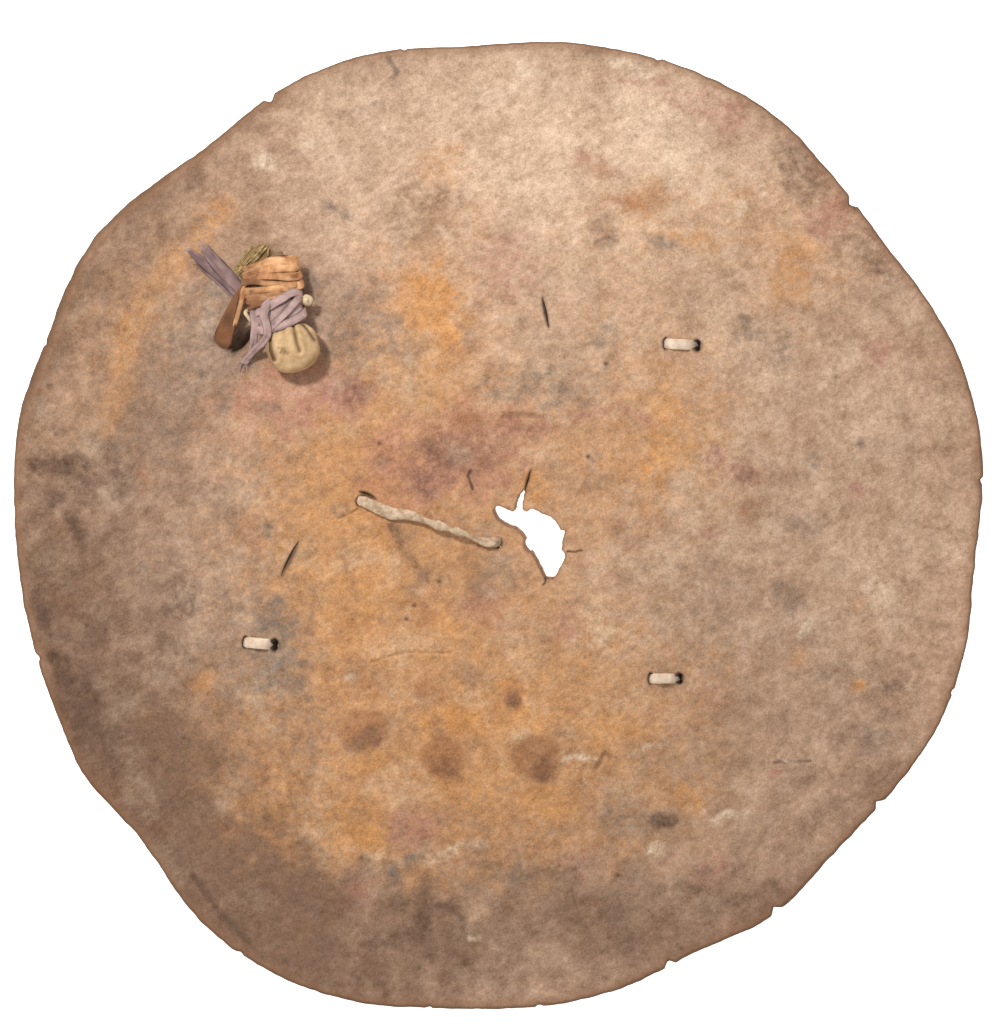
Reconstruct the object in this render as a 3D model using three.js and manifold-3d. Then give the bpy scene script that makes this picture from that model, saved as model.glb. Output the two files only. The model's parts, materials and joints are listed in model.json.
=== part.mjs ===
import * as THREE from "three";
import { mergeVertices } from "three/addons/utils/BufferGeometryUtils.js";
import Module from "manifold-3d";

// A round rawhide shield that lies on its rim with its face up.
// Millimetres, +Z up, +Y towards the top edge of the face.
// The origin is under the middle of the shield, on the surface that it lies on.

const wasm = await Module();
wasm.setup();

// The hide
const SHIELD_WIDTH = 500;
const DOME_RISE = 40;
const HIDE_THICKNESS = 4.5;
const BRIM_CURL = 2.5;
const BRIM_WAVE = 2.2;
const EDGE_ROUND = 0.7;
const GROOVE_DEPTH = 1;
const WORN_FLAT = 0.6;

// Gaps: round what passes through another piece, and under what lies on the hide
const CUT_GAP = 0.3;
const SEAT_GAP = 0.5;

// The run of the dome, as shares of the way from the middle to the rim
const BRIM_SHARE = 0.94;
const DOME_FULLNESS = 1.3;
const GROOVE_SHARE = 0.865;
const GROOVE_REACH = 0.02;
const WAVE_START = 0.55;
const RING_SHARES = [0.09, 0.18, 0.28, 0.38, 0.48, 0.58, 0.68, 0.77, 0.84, 0.865, 0.89, 0.94, 1];
const RIM_STEPS = 64;

// The corners of the cut rim: angle in degrees from +X, and distance as a share of half the width
const RIM_CORNERS = [
  [10, 1.014], [22, 1.012], [36, 0.99], [46, 1], [56, 1.022], [66, 1.023], [80, 1.01],
  [94, 0.992], [105, 1.008], [115, 1.007], [128, 0.986], [145, 1.021], [158, 1.0055],
  [166, 1.01], [181, 0.993], [204, 0.988], [211, 0.994], [221, 0.978], [235, 1.023],
  [250, 1.028], [264, 1.001], [284, 0.989], [295, 0.97], [305, 0.983], [317, 0.969],
  [337, 1], [346, 0.998], [355, 0.988],
];

// The brim lifts where the rim swells out by this share, and rests where it draws in
const LIFTING_SWELL = 0.025;
const RESTING_SWELL = -0.01;

// Nicks in the rim, by angle
const NICK_ANGLES = [118, 291.5, 306, 324];
const NICK_DEPTH = 3;
const NICK_WIDTH = 3.2;

// The tear at the middle: its place, its length, and its outline as shares of that length
const TEAR_X = 15.7;
const TEAR_Y = -4.4;
const TEAR_LENGTH = 45;
const TEAR_OUTLINE = [
  [-0.407, 0.275], [-0.341, 0.316], [-0.203, 0.264], [-0.167, 0.275], [-0.142, 0.387],
  [-0.08, 0.489], [-0.05, 0.505], [-0.076, 0.336], [-0.065, 0.275], [-0.019, 0.254],
  [0.032, 0.285], [0.154, 0.233], [0.246, 0.193], [0.308, 0.132], [0.359, 0.05],
  [0.405, 0.034], [0.374, -0.103], [0.374, -0.175], [0.405, -0.256], [0.339, -0.399],
  [0.277, -0.492], [0.175, -0.492], [0.134, -0.399], [0.032, -0.216], [-0.009, -0.206],
  [-0.06, -0.124], [-0.055, -0.042], [-0.152, 0.06], [-0.254, 0.101], [-0.356, 0.173],
];

// Narrow cuts that run slantwise through the hide. Lean is sideways travel for each mm of depth.
const SLITS = [
  { x: 14.8, y: 23, length: 11.5, width: 1.1, angle: 74, lean: 1 },
  { x: 24, y: 109.5, length: 16, width: 1.5, angle: 102, lean: 1 },
  { x: -107, y: -17, length: 20, width: 1.2, angle: 63, lean: -1.1 },
  { x: -67, y: 15.6, length: 9, width: 2.2, angle: -24, lean: -1 },
];

// The hole beside the bundle
const BUNDLE_HOLE = { x: -132, y: 96, length: 16.5, width: 7, angle: 53.5, lean: 1.5 };

// The stitches: flat thong that comes up through the hide and goes down again
const STITCH_THICKNESS = 1.6;
const STITCH_TAIL = 9;
const STITCH_RISE = 1;
const STITCH_HOLE = 2.6;
const STITCHES = [
  { name: "stitch_upper_right", x: 93, y: 93, span: 15.5, width: 5.4, angle: -3 },
  { name: "stitch_lower_right", x: 84.5, y: -78.5, span: 14, width: 5.2, angle: 0 },
  { name: "stitch_lower_left", x: -123.5, y: -60.5, span: 14.5, width: 5.6, angle: -5 },
];

// The thong near the middle, from its left hole to its right one
const THONG_START_X = -72;
const THONG_START_Y = 13;
const THONG_SPAN = 76;
const THONG_ANGLE = -17;
const THONG_WIDTH = 5;
const THONG_THICKNESS = 3.6;
const THONG_RISE = 7.5;
const THONG_TAIL = 8;

// The bundle: the place of its pouch, and the way its neck points
const BUNDLE_X = -105.6;
const BUNDLE_Y = 91.3;
const BUNDLE_ANGLE = 104.3;
const POUCH_LENGTH = 68;
const BALL_WIDTH = 28.6;
const BALL_HEIGHT = 24.6;
const NECK_WIDTH = 12;
const NECK_HEIGHT = 10;
const CLOTH_FROM = 11;
const CLOTH_WIDTH = 14.6;
const CLOTH_WOUND_WIDTH = 28;
const CLOTH_WOUND_HEIGHT = 21;
const WRAP_WIDTH = 20;
const WRAP_WOUND_WIDTH = 31;
const WRAP_WOUND_HEIGHT = 19;
const RIBBON_THICKNESS = 1.4;
const STRAP_THICKNESS = 1.8;
const LACING_THICKNESS = 2.4;
const KNOT_WIDTH = 4.6;
const STRAW_LENGTH = 19;

const UP = new THREE.Vector3(0, 0, 1);
const TURN = 2 * Math.PI;
const radians = THREE.MathUtils.degToRad;
const smooth = THREE.MathUtils.smoothstep;

// Distance from the middle to the rim, as a share, at an angle in degrees.
const padded = [-360, 0, 360].flatMap((shift) => RIM_CORNERS.map(([a, r]) => [a + shift, r]));
const rimCurve = new THREE.CubicInterpolant(
  padded.map(([angle]) => angle),
  padded.map(([, share]) => share),
  1,
);

function rimShare(angle) {
  return rimCurve.evaluate(angle)[0];
}

// The rim's box at the mesh's own steps sets its scale and middle, so that the width is the true width.
function rimBox() {
  const box = new THREE.Box2();
  for (let i = 0; i < RIM_STEPS; i++) {
    const angle = (360 * i) / RIM_STEPS;
    const share = rimShare(angle);
    box.expandByPoint(
      new THREE.Vector2(share * Math.cos(radians(angle)), share * Math.sin(radians(angle))),
    );
  }
  return box;
}

const shareBox = rimBox();
const RIM_SCALE = (SHIELD_WIDTH - 2 * EDGE_ROUND) / shareBox.getSize(new THREE.Vector2()).x;
const MIDDLE = shareBox.getCenter(new THREE.Vector2()).multiplyScalar(-RIM_SCALE);

function rimRadius(angle) {
  return RIM_SCALE * rimShare(angle);
}

// Height of the face over its own lowest level, by angle and share of the way to the rim.
function faceForm(angle, share) {
  const run = Math.min(1, share / BRIM_SHARE) ** DOME_FULLNESS;
  const dome = (DOME_RISE / 2) * (1 + Math.cos(Math.PI * run));
  const curl = BRIM_CURL * smooth(share, BRIM_SHARE, 1);
  const swell = Math.max(RESTING_SWELL, rimShare(angle) - 1) / LIFTING_SWELL;
  const wave = BRIM_WAVE * swell * smooth(share, WAVE_START, 1);
  const groove = GROOVE_DEPTH * Math.exp(-(((share - GROOVE_SHARE) / GROOVE_REACH) ** 2));
  return dome + curl + wave - groove;
}

function lowestForm() {
  let lowest = Infinity;
  for (let i = 0; i < RIM_STEPS; i++)
    for (const share of RING_SHARES)
      lowest = Math.min(lowest, faceForm((360 * i) / RIM_STEPS, share));
  return lowest;
}

const FACE_LIFT = HIDE_THICKNESS - WORN_FLAT - lowestForm();

function faceHeight(x, y) {
  const dx = x - MIDDLE.x;
  const dy = y - MIDDLE.y;
  const angle = (THREE.MathUtils.radToDeg(Math.atan2(dy, dx)) + 360) % 360;
  return FACE_LIFT + faceForm(angle, Math.hypot(dx, dy) / rimRadius(angle));
}

// A closed body through rings of points that all run the same way round.
function loft(rings) {
  const count = rings[0].length;
  const points = rings.flat();
  const triangles = [];
  for (let k = 0; k + 1 < rings.length; k++)
    for (let i = 0; i < count; i++) {
      const a = k * count + i;
      const b = k * count + ((i + 1) % count);
      triangles.push(a, b, b + count, a, b + count, a + count);
    }
  const ends = [
    [0, true],
    [rings.length - 1, false],
  ];
  for (const [k, first] of ends) {
    const middle = new THREE.Vector3();
    rings[k].forEach((point) => middle.addScaledVector(point, 1 / count));
    const centre = points.push(middle) - 1;
    for (let i = 0; i < count; i++) {
      const a = k * count + i;
      const b = k * count + ((i + 1) % count);
      triangles.push(centre, first ? b : a, first ? a : b);
    }
  }
  const geometry = new THREE.BufferGeometry().setFromPoints(points);
  return geometry.setIndex(triangles);
}

// A ring across +X at a station, with a form that may press it in or push it out by angle.
function ringAcross({ x, y, z, width, height }, sides, form = () => 1) {
  return Array.from({ length: sides }, (_, i) => {
    const angle = (TURN * i) / sides;
    const reach = form(angle) / 2;
    return new THREE.Vector3(
      x,
      y + width * reach * Math.cos(angle),
      z + height * reach * Math.sin(angle),
    );
  });
}

// A strip along a smooth path. Each station is [x, y, z, width, thickness].
function strip(stations, grow = 0, sides = 8, stepsEach = 3) {
  const path = new THREE.CatmullRomCurve3(
    stations.map(([x, y, z]) => new THREE.Vector3(x, y, z)),
    false,
    "catmullrom",
    0.5,
  );
  const size = new THREE.CatmullRomCurve3(
    stations.map(([, , , width, thickness]) => new THREE.Vector3(width, thickness, 0)),
    false,
    "catmullrom",
    0.5,
  );
  const heading = path.points.at(-1).clone().sub(path.points[0]).setZ(0).normalize();
  const steps = (stations.length - 1) * stepsEach;
  const rings = [];
  for (let k = 0; k <= steps; k++) {
    const at = path.getPoint(k / steps);
    const tangent = path.getTangent(k / steps);
    const along = tangent.clone().setZ(0).addScaledVector(heading, 0.4);
    const side = new THREE.Vector3().crossVectors(UP, along).normalize();
    const normal = new THREE.Vector3().crossVectors(tangent, side).normalize();
    const { x: width, y: thickness } = size.getPoint(k / steps);
    rings.push(
      Array.from({ length: sides }, (_, i) => {
        const angle = (TURN * i) / sides;
        return at
          .clone()
          .addScaledVector(side, (width / 2 + grow) * Math.cos(angle))
          .addScaledVector(normal, (thickness / 2 + grow) * Math.sin(angle));
      }),
    );
  }
  return loft(rings);
}

// Moves every point of a geometry by a rule.
function reshape(geometry, rule) {
  const spot = new THREE.Vector3();
  const positions = geometry.attributes.position;
  for (let i = 0; i < positions.count; i++) {
    rule(spot.fromBufferAttribute(positions, i));
    positions.setXYZ(i, spot.x, spot.y, spot.z);
  }
  return geometry;
}

// Turns a flat-laid geometry to its angle, sets it at its place and lifts it onto the face.
function layOnFace(geometry, { x, y, angle }) {
  const turned = geometry.clone().rotateZ(radians(angle)).translate(x, y, 0);
  return reshape(turned, (spot) => {
    spot.z += faceHeight(spot.x, spot.y);
  });
}

function solid(geometry) {
  const bare = geometry.clone();
  bare.deleteAttribute("normal");
  bare.deleteAttribute("uv");
  const merged = mergeVertices(bare, 1e-4);
  return new wasm.Manifold(
    new wasm.Mesh({
      numProp: 3,
      vertProperties: new Float32Array(merged.attributes.position.array),
      triVerts: new Uint32Array(merged.index.array),
    }),
  );
}

function geometryOf(body) {
  const mesh = body.getMesh();
  return new THREE.BufferGeometry()
    .setAttribute("position", new THREE.Float32BufferAttribute(mesh.vertProperties, 3))
    .setIndex(new THREE.Uint32BufferAttribute(mesh.triVerts, 1));
}

function fused(...geometries) {
  return geometryOf(geometries.map(solid).reduce((all, one) => all.add(one)));
}

function cutFrom(geometry, ...cutters) {
  return geometryOf(cutters.reduce((left, one) => left.subtract(solid(one)), solid(geometry)));
}

// An upright prism of an outline, as a rule long enough to pass through the hide anywhere.
function prism(outline, depth = 2 * DOME_RISE + 8 * HIDE_THICKNESS) {
  const shape = new THREE.Shape(outline.map(([x, y]) => new THREE.Vector2(x, y)));
  const geometry = new THREE.ExtrudeGeometry(shape, { depth, bevelEnabled: false });
  return geometry.translate(0, 0, -depth / 2);
}

// A pointed oval cut. Its lean carries it sideways as it goes down through the hide.
function ovalCut({ x, y, length, width, angle, lean }) {
  const sides = 12;
  const outline = Array.from({ length: sides }, (_, i) => {
    const turn = (TURN * i) / sides;
    const across = Math.sin(turn) * Math.sqrt(Math.abs(Math.sin(turn)));
    return [(length / 2) * Math.cos(turn), (width / 2) * across];
  });
  const leaning = reshape(prism(outline, 6 * HIDE_THICKNESS), (spot) => {
    spot.y += lean * spot.z;
  });
  return leaning.rotateZ(radians(angle)).translate(x, y, faceHeight(x, y));
}

function nickCut(angle) {
  const radius = rimRadius(angle) + EDGE_ROUND;
  const nick = prism([
    [radius - NICK_DEPTH, 0],
    [radius + NICK_DEPTH, -NICK_WIDTH],
    [radius + NICK_DEPTH, NICK_WIDTH],
  ]);
  return nick.rotateZ(radians(angle)).translate(MIDDLE.x, MIDDLE.y, 0);
}

// One stitch, flat: a tail behind the hide, up, over the face, down, and a tail behind.
function stitchStations({ span, width }) {
  const over = SEAT_GAP + STITCH_THICKNESS / 2;
  const under = -(HIDE_THICKNESS + SEAT_GAP + STITCH_THICKNESS / 2);
  const half = span / 2;
  const bend = STITCH_THICKNESS;
  const arch = [
    [half + STITCH_TAIL, under, 0.7],
    [half + 2 * bend, under, 0.9],
    [half, -HIDE_THICKNESS / 2, 1],
    [half - 1.6 * bend, over, 1],
    [half / 3, over + STITCH_RISE, 1],
  ];
  const left = arch.map(([x, z, share]) => [-x, 0, z, width * share, STITCH_THICKNESS]);
  const right = arch.map(([x, z, share]) => [x, 0, z, width * share, STITCH_THICKNESS]);
  return [...left, ...right.reverse()];
}

function stitch(place, grow = 0) {
  return layOnFace(strip(stitchStations(place), grow, 6, 2), place);
}

// The open end of the hole that a stitch goes down through.
function stitchHole({ x, y, span, width, angle }) {
  const out = span / 2 + STITCH_THICKNESS / 2;
  const half = width / 2;
  const hole = prism([
    [0, -half],
    [STITCH_HOLE, -half],
    [STITCH_HOLE, half],
    [0, half],
  ]);
  return hole
    .translate(out, 0, 0)
    .rotateZ(radians(angle))
    .translate(x, y, 0);
}

// The centre thong, flat: shares of its span, height over the face, and shares of its width.
function thongStations() {
  const under = -(HIDE_THICKNESS + SEAT_GAP + THONG_THICKNESS / 2);
  const low = SEAT_GAP + THONG_THICKNESS / 2;
  const run = [
    [0, 0, -HIDE_THICKNESS / 2, 0.9, 0.8],
    [0.05, 0, low + 0.4, 1.1, 1],
    [0.25, -0.02, low + 0.3, 1.15, 1],
    [0.42, 0.01, low + 0.35 * THONG_RISE, 0.95, 0.9],
    [0.6, -0.005, THONG_RISE, 0.75, 0.8],
    [0.76, -0.01, 0.9 * THONG_RISE, 0.6, 0.75],
    [0.88, -0.02, low + 1.2, 0.9, 0.9],
    [0.96, -0.005, low + 0.8, 1.05, 1.1],
    [1, 0.01, -HIDE_THICKNESS / 2, 0.9, 0.8],
  ].map(([along, across, z, width, thickness]) => [
    along * THONG_SPAN,
    across * THONG_SPAN,
    z,
    width * THONG_WIDTH,
    thickness * THONG_THICKNESS,
  ]);
  const thin = [0.7 * THONG_WIDTH, 0.7 * THONG_THICKNESS];
  return [
    [-THONG_TAIL, 0, under, ...thin],
    [-THONG_TAIL / 3, 0, under, ...thin],
    ...run,
    [THONG_SPAN + 0.5, 0, 1.4 * under, ...thin],
  ];
}

const THONG_PLACE = { x: THONG_START_X, y: THONG_START_Y, angle: THONG_ANGLE };

function centreThong(grow = 0) {
  return layOnFace(strip(thongStations(), grow, 8, 2), THONG_PLACE);
}

// The bundle is modelled flat: +X from the pouch to its mouth, +Y to its left, +Z off the hide.
const BUNDLE_PLACE = { x: BUNDLE_X, y: BUNDLE_Y, angle: BUNDLE_ANGLE };
const NECK_LEVEL = SEAT_GAP + WRAP_WOUND_HEIGHT / 2;
const BALL_LEVEL = SEAT_GAP + BALL_HEIGHT / 2;
const CLOTH_TO = CLOTH_FROM + CLOTH_WIDTH;
const WRAP_FROM = CLOTH_TO + CUT_GAP;
const WRAP_TO = WRAP_FROM + WRAP_WIDTH;

// Gathers pressed into the ball between its folds.
const GATHERS = [0.9, 1.75, 2.5, 4.2, 5.4];

function gathered(angle) {
  const press = GATHERS.map((at) => Math.exp(-(((angle - at) / 0.16) ** 2)));
  return 1 - 0.07 * Math.max(...press);
}

function pouch(grow = 0) {
  const ball = Array.from({ length: 8 }, (_, k) => {
    const turn = 0.18 + (k / 7) * 2.3;
    const share = Math.sin(turn) ** 0.85;
    return {
      x: (-BALL_WIDTH / 2) * 0.9 * Math.cos(turn),
      y: 0,
      z: BALL_LEVEL,
      width: BALL_WIDTH * share + 2 * grow,
      height: BALL_HEIGHT * share + 2 * grow,
    };
  });
  const end = ball[0].x;
  const neck = [
    [0.4, 1, 1, 0],
    [0.62, 1, 1, 0],
    [0.82, 1.05, 0.95, 0],
    [0.9, 1.05, 0.6, -0.2],
    [1, 0.75, 0.25, -0.35],
  ].map(([along, width, height, across]) => ({
    x: end + along * POUCH_LENGTH,
    y: across * NECK_WIDTH,
    z: NECK_LEVEL,
    width: width * NECK_WIDTH + 2 * grow,
    height: height * NECK_HEIGHT + 2 * grow,
  }));
  const rings = [
    ...ball.map((station, k) => ringAcross(station, 18, k < 7 ? gathered : undefined)),
    ...neck.map((station) => ringAcross(station, 18)),
  ];
  return loft(rings);
}

// Cloth or skin wound round the neck: turns stand up as ribs along the wound width.
function wound({ from, to, width, height, y, level, ribs, shape }, sides = 16) {
  const steps = 2 * ribs;
  const rings = Array.from({ length: steps + 1 }, (_, k) => {
    const share = k / steps;
    const rib = k % 2 ? 1 : 0.92;
    const end = k === 0 || k === steps ? 0.9 : 1;
    const reach = shape(share) * rib * end;
    return ringAcross(
      {
        x: from + share * (to - from),
        y,
        z: level,
        width: width * reach,
        height: height * rib * end,
      },
      sides,
    );
  });
  return loft(rings);
}

// The pale lacing round the neck, with its knot on the right and its cut end on the left.
function lacing(grow = 0) {
  const at = CLOTH_TO - 4;
  const level = NECK_LEVEL;
  const out = LACING_THICKNESS / 2 + CUT_GAP;
  const side = NECK_WIDTH / 2 + out;
  const top = NECK_HEIGHT / 2 + out;
  const round = [LACING_THICKNESS, LACING_THICKNESS];
  const knot = [KNOT_WIDTH, 0.9 * KNOT_WIDTH];
  const over = [
    [at - 4.5, side + 10.5, level - 2, 1.5, 1.2],
    [at - 1, side + 7, level, 2.2, 1.8],
    [at, side, level + 0.4 * top, ...round],
    [at, 0.6 * side, level + top, ...round],
    [at, -0.6 * side, level + top, ...round],
    [at, -side, level + 0.3 * top, ...round],
    [at, -CLOTH_WOUND_WIDTH / 2 + 2, level + 1, ...round],
    [at, -CLOTH_WOUND_WIDTH / 2 + 1, level + 1, ...knot],
    [at, -CLOTH_WOUND_WIDTH / 2 - 1.2, level + 1, ...knot],
    [at, -CLOTH_WOUND_WIDTH / 2 - 2.4, level + 1, 2, 2],
  ];
  const under = [
    [at, side, level + 0.4 * top, ...round],
    [at, side, level - 0.5 * top, ...round],
    [at, 0, level - top, ...round],
    [at, -side, level - 0.5 * top, ...round],
    [at, -side, level + 0.3 * top, ...round],
  ];
  return fused(strip(over, grow, 6, 2), strip(under, grow, 6, 2));
}

// The mauve cloth: the band round the neck, two strands that join below, and the forked tail.
function cloth() {
  const band = wound({
    from: CLOTH_FROM,
    to: CLOTH_TO,
    width: CLOTH_WOUND_WIDTH,
    height: CLOTH_WOUND_HEIGHT,
    y: 2.2,
    level: SEAT_GAP + CLOTH_WOUND_HEIGHT / 2,
    ribs: 3,
    shape: (share) => 0.93 + 0.07 * Math.sin(Math.PI * share),
  });
  const t = RIBBON_THICKNESS;
  const left = CLOTH_WOUND_WIDTH / 2;
  const strands = [
    [
      [CLOTH_TO - 4, left, 11, 5, t],
      [CLOTH_TO - 9, left + 3.4, 9.5, 5, t],
      [10, left + 4, 7.5, 5, t],
      [4, left + 4.4, 5.5, 5.4, t],
      [0, left + 9, 3, 4, t],
      [-1.8, left + 13.5, 1.6, 2, 0.8 * t],
    ],
    [
      [CLOTH_TO - 3, left - 6, 17.5, 5, t],
      [17, left - 2.6, 16.5, 5, t],
      [11, left - 1.2, 12, 4.6, t],
      [6, left + 1.6, 7.5, 4.4, t],
      [3, left + 4.8, 5.2, 4, t],
    ],
    [
      [CLOTH_FROM + 4, left - 2, 5, 6, t],
      [CLOTH_TO - 2, left + 2, 3, 6.5, t],
      [34, left + 5.5, 3, 7, t],
      [44, left + 11, 6, 7.6, t],
      [54, left + 16.5, 8, 7.4, t],
      [58, left + 19, 8.5, 6.4, t],
    ],
    [
      [55, left + 15.5, 8, 4, t],
      [59, left + 17, 9, 3.4, t],
      [63.5, left + 18.5, 10, 1.6, 0.8 * t],
    ],
    [
      [55, left + 19, 8, 4, t],
      [59, left + 22.5, 8, 3.2, t],
      [62.5, left + 26.5, 8, 1.4, 0.8 * t],
    ],
  ];
  return fused(band, ...strands.map((stations) => strip(stations, 0, 6, 2)));
}

// The buckskin wound above the cloth.
function wrapTurns(grow = 0) {
  return wound({
    from: WRAP_FROM - grow,
    to: WRAP_TO + grow,
    width: WRAP_WOUND_WIDTH + 2 * grow,
    height: WRAP_WOUND_HEIGHT + 2 * grow,
    y: 2,
    level: NECK_LEVEL,
    ribs: 4,
    shape: (share) => 1 - 0.32 * share ** 4,
  });
}

// Its hanging end, which runs down the left side and goes through the hide.
function strap(grow = 0) {
  const t = STRAP_THICKNESS;
  const under = -(HIDE_THICKNESS + SEAT_GAP + t);
  const left = WRAP_WOUND_WIDTH / 2;
  return strip(
    [
      [WRAP_FROM + 13, left - 4, 12, 3.4, t],
      [WRAP_FROM + 9.5, left + 2, 12.5, 4.4, t],
      [WRAP_FROM + 1, left + 8.2, 9.5, 7, t],
      [17, left + 14, 5.5, 8.6, t],
      [11.5, left + 17.6, 2.2, 9, t],
      [9, left + 19.2, -HIDE_THICKNESS / 2, 6, t],
      [7.5, left + 20.4, under, 5, t],
      [2, left + 24, 1.3 * under, 4, t],
    ],
    grow,
    8,
    2,
  );
}

// The wad of straw-coloured fibre, lying slantwise across the left of the mouth.
function straw() {
  const rings = Array.from({ length: 7 }, (_, k) => {
    const share = k / 6;
    const reach = 0.35 + 0.65 * Math.sin(Math.PI * (0.12 + 0.76 * share));
    return ringAcross(
      {
        x: (share - 0.5) * STRAW_LENGTH,
        y: 0,
        z: NECK_LEVEL - 1.5,
        width: 0.5 * STRAW_LENGTH * reach,
        height: 0.62 * STRAW_LENGTH * reach,
      },
      12,
      (angle) => 1 + 0.1 * Math.sin(5 * angle + 2 * k),
    );
  });
  return loft(rings).rotateZ(radians(-52)).translate(WRAP_TO + 4.5, 9, 0);
}

function hide(cutters) {
  const ring = (share, level, out = 0) =>
    Array.from({ length: RIM_STEPS }, (_, i) => {
      const angle = (360 * i) / RIM_STEPS;
      const radius = share * rimRadius(angle) + out;
      const x = MIDDLE.x + radius * Math.cos(radians(angle));
      const y = MIDDLE.y + radius * Math.sin(radians(angle));
      return new THREE.Vector3(x, y, level(FACE_LIFT + faceForm(angle, share)));
    });
  const underside = (face) => Math.max(0, face - HIDE_THICKNESS);
  const rings = [
    ...RING_SHARES.map((share) => ring(share, underside)),
    ring(1, (face) => face - HIDE_THICKNESS / 2, EDGE_ROUND),
    ...RING_SHARES.toReversed().map((share) => ring(share, (face) => face)),
  ];
  return cutFrom(loft(rings), ...cutters);
}

// The looks of each material
const FINISHES = {
  rawhide: { color: 0xb08a6a, roughness: 0.8 },
  paleThong: { color: 0xd2bfa2, roughness: 0.85 },
  pouchSkin: { color: 0xd3b27a, roughness: 0.8 },
  mauveCloth: { color: 0x8f7a80, roughness: 0.95 },
  buckskin: { color: 0xae7440, roughness: 0.9 },
  straw: { color: 0xa58b52, roughness: 0.95 },
};

function piece(name, geometry, finish) {
  const flat = geometry.index ? geometry.toNonIndexed() : geometry;
  flat.computeVertexNormals();
  const mesh = new THREE.Mesh(
    flat,
    new THREE.MeshStandardMaterial({ ...FINISHES[finish], metalness: 0 }),
  );
  mesh.name = name;
  return mesh;
}

const tear = prism(TEAR_OUTLINE.map(([x, y]) => [x * TEAR_LENGTH, y * TEAR_LENGTH]));
const laidStrap = (grow) => layOnFace(strap(grow), BUNDLE_PLACE);
const shield = hide([
  tear.translate(TEAR_X, TEAR_Y, 0),
  ...SLITS.map(ovalCut),
  ovalCut(BUNDLE_HOLE),
  ...NICK_ANGLES.map(nickCut),
  ...STITCHES.map((place) => stitch(place, CUT_GAP)),
  ...STITCHES.map(stitchHole),
  centreThong(CUT_GAP),
  laidStrap(CUT_GAP),
]);

const wrap = cutFrom(fused(wrapTurns(), strap()), pouch(CUT_GAP), lacing(CUT_GAP));
const tie = cutFrom(cloth(), pouch(CUT_GAP), lacing(CUT_GAP), wrapTurns(CUT_GAP), strap(CUT_GAP));
const wad = cutFrom(straw(), pouch(CUT_GAP), wrapTurns(CUT_GAP));
const cord = cutFrom(lacing(), pouch(CUT_GAP));

const group = new THREE.Group();
group.add(piece("hide_disc", shield, "rawhide"));
group.add(piece("centre_thong", centreThong(), "paleThong"));
for (const place of STITCHES) group.add(piece(place.name, stitch(place), "paleThong"));
group.add(piece("pouch", layOnFace(pouch(), BUNDLE_PLACE), "pouchSkin"));
group.add(piece("neck_lacing", layOnFace(cord, BUNDLE_PLACE), "paleThong"));
group.add(piece("cloth_tie", layOnFace(tie, BUNDLE_PLACE), "mauveCloth"));
group.add(piece("buckskin_wrap", layOnFace(wrap, BUNDLE_PLACE), "buckskin"));
group.add(piece("straw_wad", layOnFace(wad, BUNDLE_PLACE), "straw"));

export default group;
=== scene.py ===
"""Hide shield: a worn rawhide disc with a small tied bundle, lying face up on a pale floor."""

import json
import logging
import math
from dataclasses import dataclass, field
from enum import Enum

import bpy
import numpy as np
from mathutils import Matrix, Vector, kdtree
from mathutils.geometry import delaunay_2d_cdt

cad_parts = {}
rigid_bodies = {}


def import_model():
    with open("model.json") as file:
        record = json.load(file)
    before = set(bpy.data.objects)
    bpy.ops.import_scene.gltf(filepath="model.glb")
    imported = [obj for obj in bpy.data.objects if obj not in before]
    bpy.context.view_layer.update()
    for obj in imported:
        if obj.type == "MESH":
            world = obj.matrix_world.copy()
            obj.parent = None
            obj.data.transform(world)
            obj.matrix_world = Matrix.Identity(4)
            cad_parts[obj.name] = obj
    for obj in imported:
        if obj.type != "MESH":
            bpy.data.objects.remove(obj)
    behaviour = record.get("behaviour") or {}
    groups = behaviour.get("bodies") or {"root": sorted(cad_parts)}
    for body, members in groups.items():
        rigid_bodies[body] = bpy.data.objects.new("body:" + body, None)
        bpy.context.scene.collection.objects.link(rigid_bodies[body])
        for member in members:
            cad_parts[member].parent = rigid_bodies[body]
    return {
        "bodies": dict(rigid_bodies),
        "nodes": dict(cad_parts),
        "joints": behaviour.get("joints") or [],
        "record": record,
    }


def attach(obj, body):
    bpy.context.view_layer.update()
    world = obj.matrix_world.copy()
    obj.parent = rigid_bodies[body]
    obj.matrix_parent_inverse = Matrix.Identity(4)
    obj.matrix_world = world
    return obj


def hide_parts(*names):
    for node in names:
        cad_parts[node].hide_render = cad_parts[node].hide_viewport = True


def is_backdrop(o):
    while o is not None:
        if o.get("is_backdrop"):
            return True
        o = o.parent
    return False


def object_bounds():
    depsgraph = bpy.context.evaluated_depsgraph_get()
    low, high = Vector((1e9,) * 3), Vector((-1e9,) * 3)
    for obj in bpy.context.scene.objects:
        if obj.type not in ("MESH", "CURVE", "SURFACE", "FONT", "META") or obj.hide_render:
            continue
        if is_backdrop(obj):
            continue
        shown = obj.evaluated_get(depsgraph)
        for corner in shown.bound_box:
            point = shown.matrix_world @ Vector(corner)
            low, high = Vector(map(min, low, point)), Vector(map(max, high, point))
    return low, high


log = logging.getLogger("hide_shield")

MM = 0.001
FULL_TURN = 2 * math.pi
BODY = "root"


Colour = tuple[int, int, int]
Stations = tuple[tuple[float, ...], ...]


def smooth_between(value: np.ndarray, low: float, high: float) -> np.ndarray:
    """Rises softly from 0 at low to 1 at high."""
    share = np.clip((value - low) / (high - low), 0.0, 1.0)
    return share * share * (3 - 2 * share)


def join_strengths(first: np.ndarray, second: np.ndarray) -> np.ndarray:
    """Lays one strength over another without passing full strength; used for stains and for painted shade."""
    return 1 - (1 - first) * (1 - np.clip(second, 0, 1))


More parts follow.
